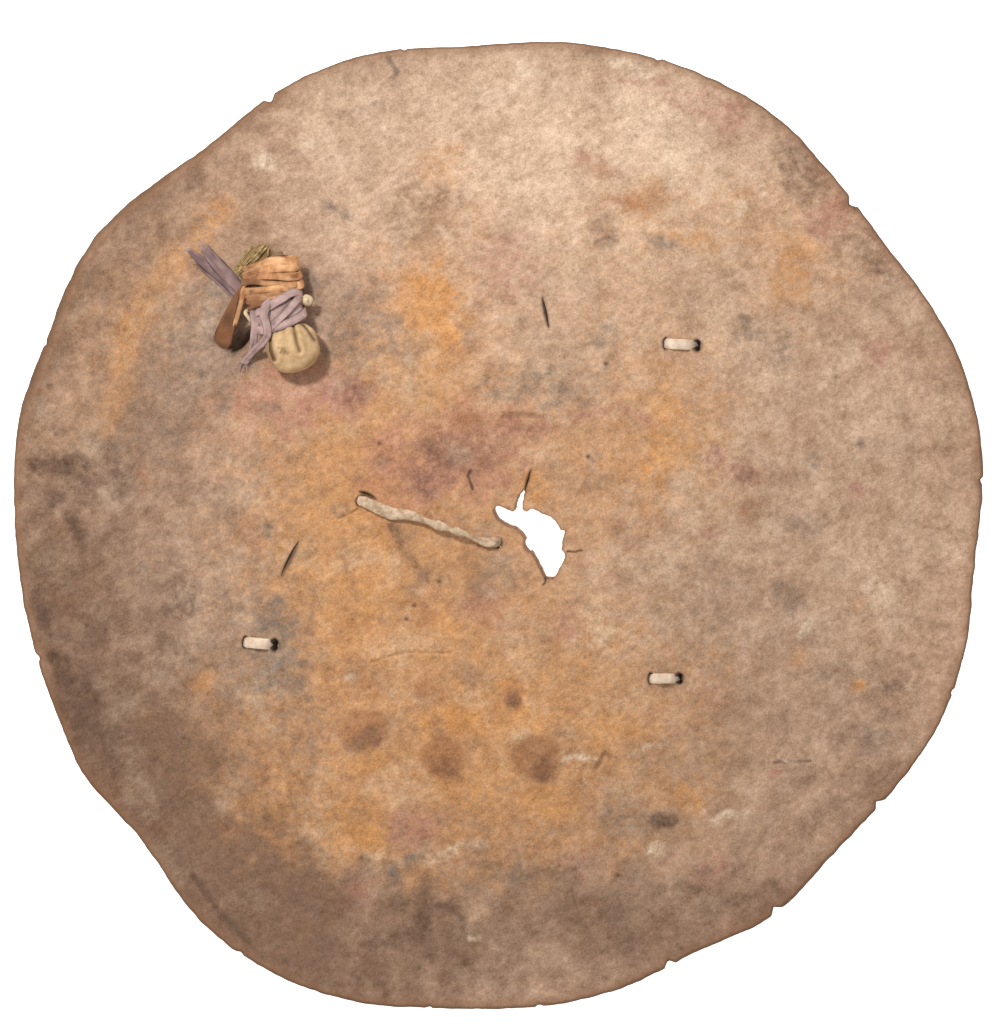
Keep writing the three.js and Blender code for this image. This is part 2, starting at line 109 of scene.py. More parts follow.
def screen_colour(red: int, green: int, blue: int) -> tuple[float, float, float, float]:
    """Turns a screen colour of 0 to 255 into the linear light that a shader takes.

    Args:
        red: Red on screen.
        green: Green on screen.
        blue: Blue on screen.

    Returns:
        Linear red, green, blue and full cover.
    """
    shares = [value / 255 for value in (red, green, blue)]
    linear = [s / 12.92 if s <= 0.04045 else ((s + 0.055) / 1.055) ** 2.4 for s in shares]
    return (linear[0], linear[1], linear[2], 1.0)


class SoftNoise:
    """Soft random hills over a plane, the same at every run."""

    CELLS = 96

    def __init__(self, seed: int, size: float) -> None:
        """Draws the heights at the grid's corners."""
        self._heights = np.random.default_rng(seed).uniform(-1, 1, (self.CELLS, self.CELLS))
        self._size = size

    def at(self, x: np.ndarray, y: np.ndarray) -> np.ndarray:
        """Reads the hills.

        Args:
            x: Places along the first axis in millimetres.
            y: Places along the second axis.

        Returns:
            Heights from -1 to 1.
        """
        u = np.asarray(x, float) / self._size
        v = np.asarray(y, float) / self._size
        column = np.floor(u).astype(int)
        row = np.floor(v).astype(int)
        across = (u - column) ** 2 * (3 - 2 * (u - column))
        along = (v - row) ** 2 * (3 - 2 * (v - row))
        near, far = column % self.CELLS, (column + 1) % self.CELLS
        low, high = row % self.CELLS, (row + 1) % self.CELLS
        bottom = self._heights[near, low] * (1 - across) + self._heights[far, low] * across
        top = self._heights[near, high] * (1 - across) + self._heights[far, high] * across
        return bottom * (1 - along) + top * along


def distance_to_line(x: np.ndarray, y: np.ndarray, points: tuple[tuple[float, float], ...]) -> np.ndarray:
    """Plan distance to a bent line.

    Args:
        x: Places along X in millimetres.
        y: Places along Y.
        points: Corners of the line.

    Returns:
        Distance of each place to the nearest part of the line.
    """
    nearest = np.full(np.shape(x), np.inf)
    for (x0, y0), (x1, y1) in zip(points, points[1:]):
        run_x, run_y = x1 - x0, y1 - y0
        share = ((x - x0) * run_x + (y - y0) * run_y) / (run_x**2 + run_y**2)
        share = np.clip(share, 0, 1)
        nearest = np.minimum(nearest, np.hypot(x - x0 - share * run_x, y - y0 - share * run_y))
    return nearest


def smooth_curve(stations: np.ndarray, steps: int) -> np.ndarray:
    """Runs a smooth curve through stations.

    Args:
        stations: One row of numbers for each station.
        steps: Rows made from each station to the next.

    Returns:
        The rows of the curve, with the first and last station as its ends.
    """
    rows = np.asarray(stations, float)
    padded = np.vstack([2 * rows[0] - rows[1], rows, 2 * rows[-1] - rows[-2]])
    shares = np.linspace(0, 1, steps, endpoint=False)[:, None]
    made = []
    for before, start, end, after in zip(padded, padded[1:], padded[2:], padded[3:]):
        made.append(
            0.5
            * (
                2 * start
                + (end - before) * shares
                + (2 * before - 5 * start + 4 * end - after) * shares**2
                + (3 * start - before - 3 * end + after) * shares**3
            )
        )
    return np.vstack([*made, rows[-1:]])


def unit(vectors: np.ndarray) -> np.ndarray:
    """Scales each row to a length of one."""
    return vectors / np.maximum(np.linalg.norm(vectors, axis=-1, keepdims=True), 1e-12)


def add_mesh(
    name: str,
    points: np.ndarray,
    faces: list[tuple[int, ...]],
    finish: bpy.types.Material,
    marks: dict[str, np.ndarray] | None = None,
) -> bpy.types.Object:
    """Makes a smooth-shaded mesh object, with its origin at the frame's origin.

    Args:
        name: Name of the piece.
        points: Places in millimetres.
        faces: Corner numbers of each face, turning so that it faces outwards.
        finish: The material of the piece.
        marks: Numbers kept at each point for the material to read.

    Returns:
        The new object, linked to the scene.
    """
    mesh = bpy.data.meshes.new(name)
    mesh.from_pydata((points * MM).tolist(), [], faces)
    mesh.validate()
    mesh.shade_smooth()
    for mark, values in (marks or {}).items():
        attribute = mesh.attributes.new(mark, "FLOAT", "POINT")
        attribute.data.foreach_set("value", np.asarray(values, np.float32))
    mesh.materials.append(finish)
    made = bpy.data.objects.new(name, mesh)
    bpy.context.scene.collection.objects.link(made)
    return made


@dataclass(frozen=True)
class RimShape:
    """The wavy outline of the disc in plan."""

    width: float = 500.0
    edge_round: float = 0.7
    corners: tuple[tuple[float, float], ...] = (
        (10, 1.014), (22, 1.012), (36, 0.99), (46, 1), (56, 1.022), (66, 1.023), (80, 1.01),
        (94, 0.992), (105, 1.008), (115, 1.007), (128, 0.986), (145, 1.021), (158, 1.0055),
        (166, 1.01), (181, 0.993), (204, 0.988), (211, 0.994), (221, 0.978), (235, 1.023),
        (250, 1.028), (264, 1.001), (284, 0.989), (295, 0.97), (305, 0.983), (317, 0.969),
        (337, 1), (346, 0.998), (355, 0.988),
    )  # fmt: skip
    box_steps: int = 64

    def share(self, angle: np.ndarray) -> np.ndarray:
        """How far the rim swells or draws in at an angle.

        Args:
            angle: Angles round the disc in radians.

        Returns:
            Shares of the mean radius.
        """
        corners = np.array(self.corners)
        places = np.concatenate([corners[:, 0] - 360, corners[:, 0], corners[:, 0] + 360])
        values = np.tile(corners[:, 1], 3)
        degrees = np.degrees(np.asarray(angle, float)) % 360
        first = np.searchsorted(places, degrees, side="right") - 1
        t0, t1 = places[first], places[first + 1]
        half = (t1 - t0) / 2
        before = half / (t0 - places[first - 1])
        after = half / (places[first + 2] - t1)
        p = (degrees - t0) / (t1 - t0)
        return (
            (-before * p**3 + 2 * before * p**2 - before * p) * values[first - 1]
            + ((1 + before) * p**3 + (-1.5 - 2 * before) * p**2 + (before - 0.5) * p + 1) * values[first]
            + ((-1 - after) * p**3 + (1.5 + after) * p**2 + 0.5 * p) * values[first + 1]
            + (after * p**3 - after * p**2) * values[first + 2]
        )

    def scale_and_middle(self) -> tuple[float, float, float]:
        """Fits the outline to the disc's width.

        Returns:
            The mean radius, and the outline's centre in X and Y.
        """
        angles = np.arange(self.box_steps) * FULL_TURN / self.box_steps
        x = self.share(angles) * np.cos(angles)
        y = self.share(angles) * np.sin(angles)
        scale = (self.width - 2 * self.edge_round) / (x.max() - x.min())
        return scale, -scale * (x.max() + x.min()) / 2, -scale * (y.max() + y.min()) / 2


@dataclass(frozen=True)
class DiscForm:
    """How high the face of the hide stands above the floor."""

    rim: RimShape = RimShape()
    thickness: float = 4.5
    dome_rise: float = 40.0
    brim_share: float = 0.94
    dome_fullness: float = 1.3
    brim_curl: float = 2.5
    brim_wave: float = 2.2
    wave_start: float = 0.55
    lifting_swell: float = 0.025
    resting_swell: float = -0.01
    groove_share: float = 0.865
    groove_reach: float = 0.02
    groove_depth: float = 1.0
    worn_flat: float = 0.6
    ring_shares: tuple[float, ...] = (
        0.09, 0.18, 0.28, 0.38, 0.48, 0.58, 0.68, 0.77, 0.84, 0.865, 0.89, 0.94, 1,
    )  # fmt: skip
    lump_height: float = 0.8
    ripple_height: float = 0.22

    def polar(self, x: np.ndarray, y: np.ndarray) -> tuple[np.ndarray, np.ndarray]:
        """Turns plan places into an angle and a share of the way to the rim.

        Args:
            x: Places along X in millimetres.
            y: Places along Y.

        Returns:
            Angles in radians and shares of the rim's radius.
        """
        scale, middle_x, middle_y = self.rim.scale_and_middle()
        angle = np.arctan2(y - middle_y, x - middle_x)
        return angle, np.hypot(x - middle_x, y - middle_y) / (scale * self.rim.share(angle))

    def form(self, angle: np.ndarray, share: np.ndarray) -> np.ndarray:
        """The dome, its brim and the pressed ring line, before it is set on the floor.

        Args:
            angle: Angles in radians.
            share: Shares of the rim's radius.

        Returns:
            Heights in millimetres.
        """
        inner = np.minimum(1, share / self.brim_share) ** self.dome_fullness
        swell = np.maximum(self.resting_swell, self.rim.share(angle) - 1) / self.lifting_swell
        return (
            self.dome_rise / 2 * (1 + np.cos(np.pi * inner))
            + self.brim_curl * smooth_between(share, self.brim_share, 1)
            + self.brim_wave * swell * smooth_between(share, self.wave_start, 1)
            - self.groove_depth * np.exp(-(((share - self.groove_share) / self.groove_reach) ** 2))
        )

    def lift(self) -> float:
        """How far the form is raised so that its lowest edge rests on the floor.

        Returns:
            Millimetres.
        """
        angles = np.arange(self.rim.box_steps) * FULL_TURN / self.rim.box_steps
        turned, shares = np.meshgrid(angles, np.array(self.ring_shares))
        return self.thickness - self.worn_flat - float(self.form(turned, shares).min())

    def plain_height(self, x: np.ndarray, y: np.ndarray) -> np.ndarray:
        """Height of the face without its small unevenness."""
        angle, share = self.polar(x, y)
        return self.lift() + self.form(angle, share)

    def lumps(self, x: np.ndarray, y: np.ndarray) -> np.ndarray:
        """The hide's small unevenness.

        Args:
            x: Places along X in millimetres.
            y: Places along Y.

        Returns:
            Heights to add in millimetres.
        """
        _, share = self.polar(x, y)
        calm = 1 - 0.75 * smooth_between(share, 0.9, 1)
        broad = SoftNoise(11, 46).at(x, y) + 0.6 * SoftNoise(12, 24).at(y + 7, x)
        fine = SoftNoise(13, 10).at(x, y) + 0.5 * SoftNoise(14, 5.2).at(x + y, y - x)
        return calm * (self.lump_height * broad + self.ripple_height * fine)

    def height(self, x: np.ndarray, y: np.ndarray) -> np.ndarray:
        """Height of the face with its unevenness."""
        return self.plain_height(x, y) + self.lumps(x, y)


class HideTint(Enum):
    """What tints the hide: stains, and the LIGHT and DARK washes, which are partly painted light and shade.
    Each value names the mark kept at the mesh's points.
    """

    OCHRE = "ochre"
    RUST = "rust"
    ROSE = "rose"
    UMBER = "umber"
    GREY = "grey"
    PALE = "pale"
    LIGHT = "light"
    DARK = "dark"
    WARM = "warm"
    BURNT = "burnt"


@dataclass(frozen=True)
class TintTable:
    """Every stain and broad wash as (x, y, length, width, turn in degrees, strength), in millimetres."""

    spots: dict[HideTint, tuple[tuple[float, float, float, float, float, float], ...]] = field(
        default_factory=lambda: {
            HideTint.OCHRE: (
                (-36.3, 115, 22, 30, 0, 0.5), (-26, 100, 14, 16, 0, 0.5), (78, 168, 18, 16, 0, 0.45),
                (-43, 130, 12, 12, 0, 0.5),
                (-35, 108, 34, 50, 0, 0.45), (-28, 186, 26, 20, 0, 0.25), (95, 149, 32, 5, -14, 0.5),
                (151.6, 134.6, 26, 34, 0, 0.35), (-86.8, -17.8, 110, 50, 80, 0.45),
                (-151, -80, 12, 14, 0, 0.5), (-91.4, -80, 16, 14, 0, 0.6), (-26, 19.8, 8, 7, 0, 0.6),
                (20, 21, 14, 18, 0, 0.5), (-30.6, -54.6, 16, 18, 0, 0.5), (-41, -58, 9, 8, 0, 0.5),
                (7.5, -87.3, 18, 18, 0, 0.7), (-67, -122, 18, 10, 0, 0.6), (-23.7, -96, 36, 20, 0, 0.85),
                (13, -99.5, 22, 12, 0, 0.7), (58.7, -103.5, 34, 18, 0, 0.55), (-21.4, -137, 34, 14, 0, 0.45),
                (-72.6, -156, 30, 26, 0, 0.6), (22.4, -142.9, 24, 24, 0, 0.5), (85, 45, 60, 20, 85, 0.5),
                (186, -82, 8, 6, 0, 0.9), (184, -40, 8, 8, 0, 0.35), (154.5, -67.7, 9, 12, 0, 0.4),
                (96.6, -139.5, 22, 18, 0, 0.5),
            ),
            HideTint.RUST: (
                (44.3, 187.4, 14, 9, 0, 0.5), (55.8, 182.2, 13, 9, 0, 0.5), (81, 167.2, 24, 13, 0, 0.45),
                (61.5, 166.7, 14, 4, 0, 0.5), (68.2, 163.2, 12, 8, 0, 0.5), (-182.6, 29, 26, 10, -80, 0.35),
                (-14.4, 52.5, 16, 12, 0, 0.6), (62.6, 0, 9, 9, 0, 0.4), (-37.3, -86, 15, 14, 0, 0.5),
                (-38, -48, 8, 22, 0, 0.45), (-8, -33, 10, 9, 0, 0.4),
                (131, 7.2, 15, 14, 0, 0.45),
            ),
            HideTint.ROSE: (
                (-12, 44, 70, 40, 0, 0.4), (-45, 30, 50, 44, 0, 0.45), (-9, 30, 44, 34, 0, 0.3),
                (111.5, 214, 45, 18, -28, 0.4), (77, 225.6, 40, 8, -10, 0.35), (170, 157.5, 26, 22, 0, 0.5),
                (195, 90, 12, 16, 0, 0.5), (-107, 64.6, 60, 30, 10, 0.45), (-86.8, 67, 30, 24, 0, 0.45),
                (-73.6, 64.6, 18, 20, 0, 0.6), (17, 50.7, 36, 9, 0, 0.4), (-35.5, 21.4, 24, 16, 0, 0.55),
                (-7.5, -43.5, 26, 18, 0, 0.4), (35.5, -51.5, 14, 16, 0, 0.4), (7.5, -88, 8, 8, 0, 0.5),
                (-42.7, -155, 24, 22, 0, 0.6), (42, -174, 18, 20, 0, 0.35), (-67.7, -188.7, 15, 12, 0, 0.4),
                (111.5, 34.8, 12, 10, 0, 0.55), (126.8, 27, 13, 13, 0, 0.55), (109, -2.6, 12, 8, 0, 0.45),
                (185, 18.8, 16, 9, 0, 0.4), (111, -177, 22, 18, 0, 0.3), (88, -170.5, 8, 2.5, 25, 0.7),
                (141, -129, 9, 3.5, 45, 0.8), (0.6, 135.7, 30, 30, 0, 0.3), (47.6, 186, 16, 12, 0, 0.35),
            ),
            HideTint.BURNT: (
                (-68.8, -104.8, 25, 22, 10, 0.62), (-28.2, -118.6, 22, 23.5, 0, 0.66),
                (19.8, -119, 25, 25, 0, 0.7),
                (-41, -76, 20, 18, 0, 0.2), (7.5, -88, 10, 10, 0, 0.3),
            ),
            HideTint.UMBER: (
                (-66, -110, 18, 10, 10, 0.3), (-27, -123, 14, 11, 0, 0.3), (24, -125, 16, 12, 30, 0.35),
                (7.5, -90, 8, 8, 0, 0.4), (-32, 38, 26, 16, -20, 0.35), (-38, 23, 24, 15, -15, 0.32),
                (-9, 38, 22, 18, 0, 0.2),
                (-229, 31.2, 21, 11, 0, 0.75), (-213, 28, 22, 12, 0, 0.4), (-213.5, 33.2, 15, 4, -48, 0.6),
                (-225.8, 48.7, 8, 4, 0, 0.5), (-219, -0.8, 24, 7.5, -72, 0.65), (-212, 17.8, 18, 14, 0, 0.4),
                (-229, 10.5, 15, 5, 43, 0.4), (-231.5, 72, 3, 3, 0, 0.6), (-232, 51.3, 3, 3, 0, 0.6),
                (-231, -7.9, 3, 3, 0, 0.6), (-197.6, 29, 28, 9, -80, 0.45), (-166, -34, 18, 26, 0, 0.35),
                (-160, -41, 8, 8, 0, 0.4), (-235, -46, 25, 11, -68, 0.65), (-225, -72, 20, 10, -60, 0.6),
                (-216.5, -90, 36, 20, -63, 0.5), (-206, -107, 26, 20, -40, 0.46),
                (-197.5, -108, 10, 8, 0, 0.5),
                (154, 185.7, 40, 28, -50, 0.35), (196, 134.6, 45, 18, -55, 0.3), (183, 165, 6.5, 3.5, -50, 1),
                (-37.3, -204.7, 9, 16, 0, 0.6), (-17.8, -204.7, 6, 14, 0, 0.5),
                (-29.3, -196.8, 20, 5, 0, 0.4),
                (60.4, -179.5, 4.5, 2.6, 75, 0.85), (84.7, -153.5, 14, 9, 0, 0.6),
                (124, -177, 14, 12, 0, 0.35),
                (204, -83, 12, 10, 0, 0.35), (71.6, 200, 2, 2, 0, 0.7), (-41.7, 160.7, 34, 40, 0, 0.25),
                # The last spot on the next line, at (-141, 92), is a thin dark line at the strap's end.
                (126.8, 27, 10, 9, 0, 0.35), (-73.6, 64.6, 12, 13, 0, 0.35), (-141, 92, 4, 14, 60, 0.6),
            ),
            HideTint.GREY: (
                (-118, -70, 50, 60, 0, 0.35), (-100, -105, 30, 40, 0, 0.3), (14, 70, 60, 16, 0, 0.3),
                # The last spot on the next line, at (-98, 124), is a dark patch beside the buckskin wrap.
                (-151, 100.7, 50, 70, 0, 0.4), (-145, 123, 26, 16, 0, 0.5), (-98, 124, 12, 10, 0, 0.7),
                (-76.5, 100.7, 60, 55, 0, 0.4), (48.9, 243.6, 12, 6, 0, 0.4), (53, 149, 18, 20, 0, 0.35),
                (83, 145.5, 14, 9, 0, 0.55), (58, 100, 10, 10, 0, 0.45), (50, 94.5, 9, 9, 0, 0.35),
                (55.8, 82.7, 4, 4, 0, 0.6), (129, 101, 18, 14, 0, 0.4), (146, 92, 14, 20, 0, 0.35),
                (-183, -21.7, 6, 6, 0, 0.5), (-115, -48.4, 18, 20, 0, 0.5), (-107.5, -73, 22, 18, 0, 0.4),
                (-118.7, -0.8, 10, 12, 0, 0.4), (-138, 62.6, 9, 8, 0, 0.5), (-118.7, 61, 9, 6, 0, 0.4),
                (-80, 8, 10, 7, 0, 0.5), (-118.7, -82.6, 9, 9, 0, 0.5), (31, 72, 50, 22, 0, 0.3),
                (-118, -69, 26, 22, 0, 0.4),
                (49.5, 26.5, 12, 20, 0, 0.35), (0, -21, 35, 17, 0, 0.35), (-53.5, -178, 8, 9, 0, 0.8),
                (-45.6, -171.5, 15, 6, 15, 0.5), (9.8, -179, 13, 20, 0, 0.5), (62.6, -148, 24, 22, 0, 0.4),
                (82, -153, 22, 9, 20, 0.5), (162, 33, 10, 7, 0, 0.4), (187, 42, 6, 6, 0, 0.45),
                (158.6, -0.8, 15, 13, 0, 0.35), (149, -37, 20, 14, -45, 0.4), (166.6, -76.8, 8, 8, 0, 0.4),
                (100, -44, 46, 60, 0, 0.18), (195, -109, 20, 16, 35, 0.4), (23, -129, 12, 6, 0, 0.6),
                (-68.8, -112, 20, 9, 0, 0.5), (-125, -20, 120, 90, 60, 0.25), (-190, 60, 70, 60, 60, 0.2),
            ),
            HideTint.PALE: (
                (-121, 187, 14, 10, 0, 0.5), (-98, 197.7, 8, 8, 0, 0.4), (13, 234, 12, 6, 0, 0.4),
                (15, 229, 6, 4, 0, 0.4), (125, 163.5, 8, 8, 0, 0.5), (51, -53, 22, 22, 0, 0.2),
                (-75.4, -78, 6, 4, 0, 0.6), (-24, -168, 30, 6, 12, 0.35), (-63, -169, 14, 10, 0, 0.3),
                (-13.4, -212, 7, 4, 0, 0.5), (42, -119.5, 16, 3, 0, 0.7), (75, -115, 18, 2, 17, 0.5),
                (193, -40, 24, 20, 0, 0.16), (182, -76, 22, 22, 0, 0.14), (157.3, -53, 12, 4, 55, 0.6),
                (118.5, -149.5, 18, 5, 15, 0.6), (80.6, -167, 10, 8, 0, 0.5), (151, -121, 18, 1.6, 0, 0.5),
            ),
            HideTint.WARM: (
                (-105, -105, 60, 90, 0, 0.3), (-75, -150, 70, 40, 0, 0.3),
                (-40, 20, 150, 120, 0, 0.45), (-25, -60, 170, 140, 0, 0.45), (-20, -112, 180, 100, 0, 0.6),
                (-35, 105, 60, 110, 0, 0.4), (60, 40, 90, 60, 0, 0.4), (-75, -10, 90, 140, 0, 0.45),
                (10, -150, 150, 50, 0, 0.4), (-60, 60, 110, 60, 0, 0.3), (50, -90, 110, 60, 0, 0.4),
                (90, 50, 60, 80, 0, 0.35), (-100, -20, 60, 100, 0, 0.3), (-185, 100, 40, 120, -35, 0.3),
                (150, 140, 60, 60, 0, 0.3), (90, 160, 90, 30, 0, 0.25), (60, 120, 70, 60, 0, 0.2),
            ),
            # LIGHT: broad lighter washes, strongest on the top brim; partly painted light on the dome's lit
            # top, partly the hide's paler tone.
            HideTint.LIGHT: (
                (30, 214, 230, 90, -4, 0.7), (104, 204, 150, 100, -20, 0.1), (-35, -90, 70, 44, 0, 0.4),
                (70, 130, 200, 130, 0, 0.35),
                (66, -18, 90, 120, 0, 0.3), (160, 60, 120, 150, 0, 0.3), (205, -30, 70, 120, 0, 0.26),
                (62, 168, 120, 50, 0, 0.3), (-20, 170, 160, 90, 0, 0.3),
            ),
            # DARK: broad darker washes along the lower and outer brim; partly painted shade on the dome's
            # brim, partly the hide's darker tone.
            HideTint.DARK: (
                (-153, -168, 210, 100, -45, 0.95), (-30, -222, 260, 60, 4, 0.4),
                (170, -190, 200, 70, 48, 0.35),
                (-205, 20, 90, 200, 0, 0.35), (-215, -60, 60, 130, 20, 0.5), (-60, 20, 90, 60, 0, 0.25),
                (-125, 220, 60, 30, 30, 0.3), (-178, 165, 130, 26, 50, 0.3), (40, -190, 220, 60, 0, 0.3),
            ),
        }
    )


@dataclass(frozen=True)
class StrokeTable:
    """Long stains as (width, strength, points), in millimetres."""

    strokes: dict[HideTint, tuple[tuple[float, float, tuple[tuple[float, float], ...]], ...]] = field(
        default_factory=lambda: {
            HideTint.OCHRE: (
                (13, 0.4, ((-194.7, 82.7), (-190, 100), (-183, 115), (-169, 133), (-153, 152), (-142, 163))),
                (12, 0.35, ((-201.6, 50.7), (-194.7, 73.9))),
            ),
            HideTint.ROSE: ((5, 0.5, ((39.7, 55.4), (61.5, 60.5), (80, 52))),),
            HideTint.UMBER: ((6, 0.4, ((-54, 0.3), (-38.5, -27.6))),),
            HideTint.GREY: (
                (3.5, 0.6, ((-91, 166.5), (-77, 158.9))),
                (3, 0.6, ((-57.4, 241), (-55.4, 238), (-52.3, 234.6), (-54, 230), (-52.8, 227.5))),
                (3, 0.25, ((-59.2, 218.6), (-65, 216.7), (-74, 214), (-82, 210.9))),
            ),
            HideTint.PALE: (
                (7, 0.6, ((58.5, 239.7), (78, 233))),
                (1.4, 0.6, ((34, -119.2), (50, -119.7))),
            ),
        }
    )


class HidePainter:
    """Works out how strongly each stain and painted wash lies at each point of the hide."""

    MOST_WANDER = 3.2
    WANDER_SHARE = 0.1
    SOFT_EDGE = 0.5
    WASH_EDGE = 0.97
    CRISP_EDGE = 0.14
    CRISP_WANDER = 0.3
    WASHES = (HideTint.LIGHT, HideTint.DARK, HideTint.WARM)

    def __init__(self, spots: TintTable, strokes: StrokeTable) -> None:
        """Keeps the tables and sets up the wander of the stains' outlines.

        Args:
            spots: The round and long spots.
            strokes: The stains that follow a line.
        """
        self._spots = spots
        self._strokes = strokes
        self._wander_x = SoftNoise(21, 7.5)
        self._wander_y = SoftNoise(22, 7.5)
        self._fine_x = SoftNoise(23, 2.8)
        self._fine_y = SoftNoise(24, 2.8)

    def fields(self, x: np.ndarray, y: np.ndarray) -> dict[str, np.ndarray]:
        """Paints the given places.

        Args:
            x: Places along X in millimetres.
            y: Places along Y.

        Returns:
            A strength from 0 to 1 at each place, for each tint's mark.
        """
        push_x = self._wander_x.at(x, y) + 0.4 * self._fine_x.at(x, y)
        push_y = self._wander_y.at(x, y) + 0.4 * self._fine_y.at(x, y)
        made = {}
        for tint_kind in HideTint:
            strength = np.zeros(np.shape(x))
            soft = self.WASH_EDGE if tint_kind in self.WASHES else self.SOFT_EDGE
            crisp = tint_kind is HideTint.BURNT
            soft, calm = (self.CRISP_EDGE, self.CRISP_WANDER) if crisp else (soft, 1.0)
            for spot in self._spots.spots.get(tint_kind, ()):
                strength = join_strengths(strength, self._spot(x, y, calm * push_x, calm * push_y, spot, soft))
            for width, most, points in self._strokes.strokes.get(tint_kind, ()):
                wander = min(self.MOST_WANDER, self.WANDER_SHARE * width)
                away = distance_to_line(x + wander * push_x, y + wander * push_y, points)
                fade = smooth_between(away, 0.25 * width, 0.75 * width)
                strength = join_strengths(strength, most * (1 - fade))
            made[tint_kind.value] = strength
        return made

    def _spot(
        self,
        x: np.ndarray,
        y: np.ndarray,
        push_x: np.ndarray,
        push_y: np.ndarray,
        spot: tuple[float, float, float, float, float, float],
        soft: float,
    ) -> np.ndarray:
        """Strength of one spot.

        Args:
            x: Places along X in millimetres.
            y: Places along Y.
            push_x: How the outline wanders along X, from -1 to 1.
            push_y: How it wanders along Y.
            spot: A row of the stain table.
            soft: How far its edge fades, as a share of its size.

        Returns:
            Strengths from 0 to 1.
        """
        spot_x, spot_y, length, width, turn, most = spot
        wander = min(4 * self.MOST_WANDER, self.WANDER_SHARE * (length + width))
        off_x = x - spot_x + wander * push_x
        off_y = y - spot_y + wander * push_y
        cosine, sine = math.cos(math.radians(turn)), math.sin(math.radians(turn))
        away = np.hypot(
            (off_x * cosine + off_y * sine) / (length / 2), (off_y * cosine - off_x * sine) / (width / 2)
        )
        return most * (1 - smooth_between(away, 1 - soft, 1 + soft))


@dataclass(frozen=True)
class Crease:
    """A crack or fold line in the face of the hide."""

    points: tuple[tuple[float, float], ...]
    width: float = 0.55
    depth: float = 0.6
    bank: float = 0.12
    # dark: how strongly the crease's cut is painted dark, as painted shade in the recess.
    dark: float = 0.35


@dataclass(frozen=True)
class CreaseTable:
    """The cracks, folds and pits of the face, in millimetres."""

    creases: tuple[Crease, ...] = (
        Crease(((35.1, -13.6), (43, -13)), 0.5, 0.7, 0.1, 0.8),
        Crease(((24.2, -26.3), (23.6, -29.7), (22.4, -30.8)), 0.5, 0.7, 0.1, 0.8),
        Crease(((-14.4, 27.8), (-15.5, 25), (-13.2, 18.5)), 0.7, 0.8, 0.3, 0.75),
        Crease(((-82.2, 3.6), (-76.5, 5.9), (-72.4, 8.2)), 0.6, 0.6, 0.2, 0.3),
        Crease(((2.8, 55.9), (12, 57), (23.6, 55.1)), 1.3, 0.8, 0.3, 0.3),
        Crease(((-65, -69.9), (-47.7, -64.8), (-24.7, -65.3)), 0.7, 0.4, 0.2, 0.15),
        Crease(((-86.9, 129.8), (-83, 127.5), (-80.6, 123.5), (-79.5, 118.8)), 1.0, -0.6, 0.0),
        Crease(((50, 145), (56, 148.6), (61.5, 145.5)), 0.9, 0.5, 0.2),
        Crease(((50.6, -124.4), (54.6, -117.5), (57, -119.2)), 1.2, 0.8, 0.5),
        Crease(((142.4, -122.3), (160.7, -122.1)), 0.8, 0.5, 0.2),
        Crease(((-156.8, -180.5), (-143, -200), (-129, -214)), 1.6, 0.6, 0.4),
    )
    pits: tuple[tuple[float, float], ...] = (
        (-61, 42.1), (46, 35.3), (-30.4, -28.6), (-47, -48.1), (-43, -41.2), (55.2, 82.9),
    )  # fmt: skip
    pit_width: float = 1.1
    pit_depth: float = 0.7

    def relief(self, x: np.ndarray, y: np.ndarray) -> tuple[np.ndarray, np.ndarray]:
        """Works out the creases' and pits' relief.

        Args:
            x: Places along X in millimetres.
            y: Places along Y.

        Returns:
            Heights to add, and how dark each place is from 0 to 1, painted shade in the creases' cuts and in
            the pits.
        """
        height = np.zeros(np.shape(x))
        dark = np.zeros(np.shape(x))
        jitter = 0.5 * SoftNoise(31, 2.6).at(x, y)
        for crease in self.creases:
            away = distance_to_line(x + jitter, y + jitter, crease.points)
            cut = np.exp(-((away / crease.width) ** 2))
            bank = np.exp(-(((away - 2 * crease.width) / crease.width) ** 2))
            height += crease.bank * bank - crease.depth * cut
            # Painted shade: each crease's cut and each pit is darkened.
            dark = join_strengths(dark, crease.dark * cut * (crease.depth > 0))
        for pit_x, pit_y in self.pits:
            cut = np.exp(-((np.hypot(x - pit_x, y - pit_y) / self.pit_width) ** 2))
            height -= self.pit_depth * cut
            dark = join_strengths(dark, 0.7 * cut)
        return height, dark

    def nearness(self, x: np.ndarray, y: np.ndarray) -> np.ndarray:
        """Distance to the nearest crease or pit.

        Args:
            x: Places along X in millimetres.
            y: Places along Y.

        Returns:
            Distances in millimetres.
        """
        away = np.full(np.shape(x), np.inf)
        for crease in self.creases:
            away = np.minimum(away, distance_to_line(x, y, crease.points))
        for pit_x, pit_y in self.pits:
            away = np.minimum(away, np.hypot(x - pit_x, y - pit_y))
        return away


@dataclass(frozen=True)
class Spot:
    """A place on the face with a heading, for what is set into the hide there."""

    x: float
    y: float
    turn: float

    def to_plan(self, along: np.ndarray, across: np.ndarray) -> np.ndarray:
        """Turns local places into plan places.

        Args:
            along: Millimetres along the heading.
            across: Millimetres to the left of it.

        Returns:
            Rows of X and Y.
        """
        cosine, sine = math.cos(math.radians(self.turn)), math.sin(math.radians(self.turn))
        along, across = np.asarray(along, float), np.asarray(across, float)
        return np.column_stack(
            [self.x + along * cosine - across * sine, self.y + along * sine + across * cosine]
        )


@dataclass(frozen=True)
class Opening:
    """A cut or hole through the hide, with its outline at the face and at the back."""

    face: np.ndarray
    back: np.ndarray
    lip: float = 0.0
    reach: float = 1.6


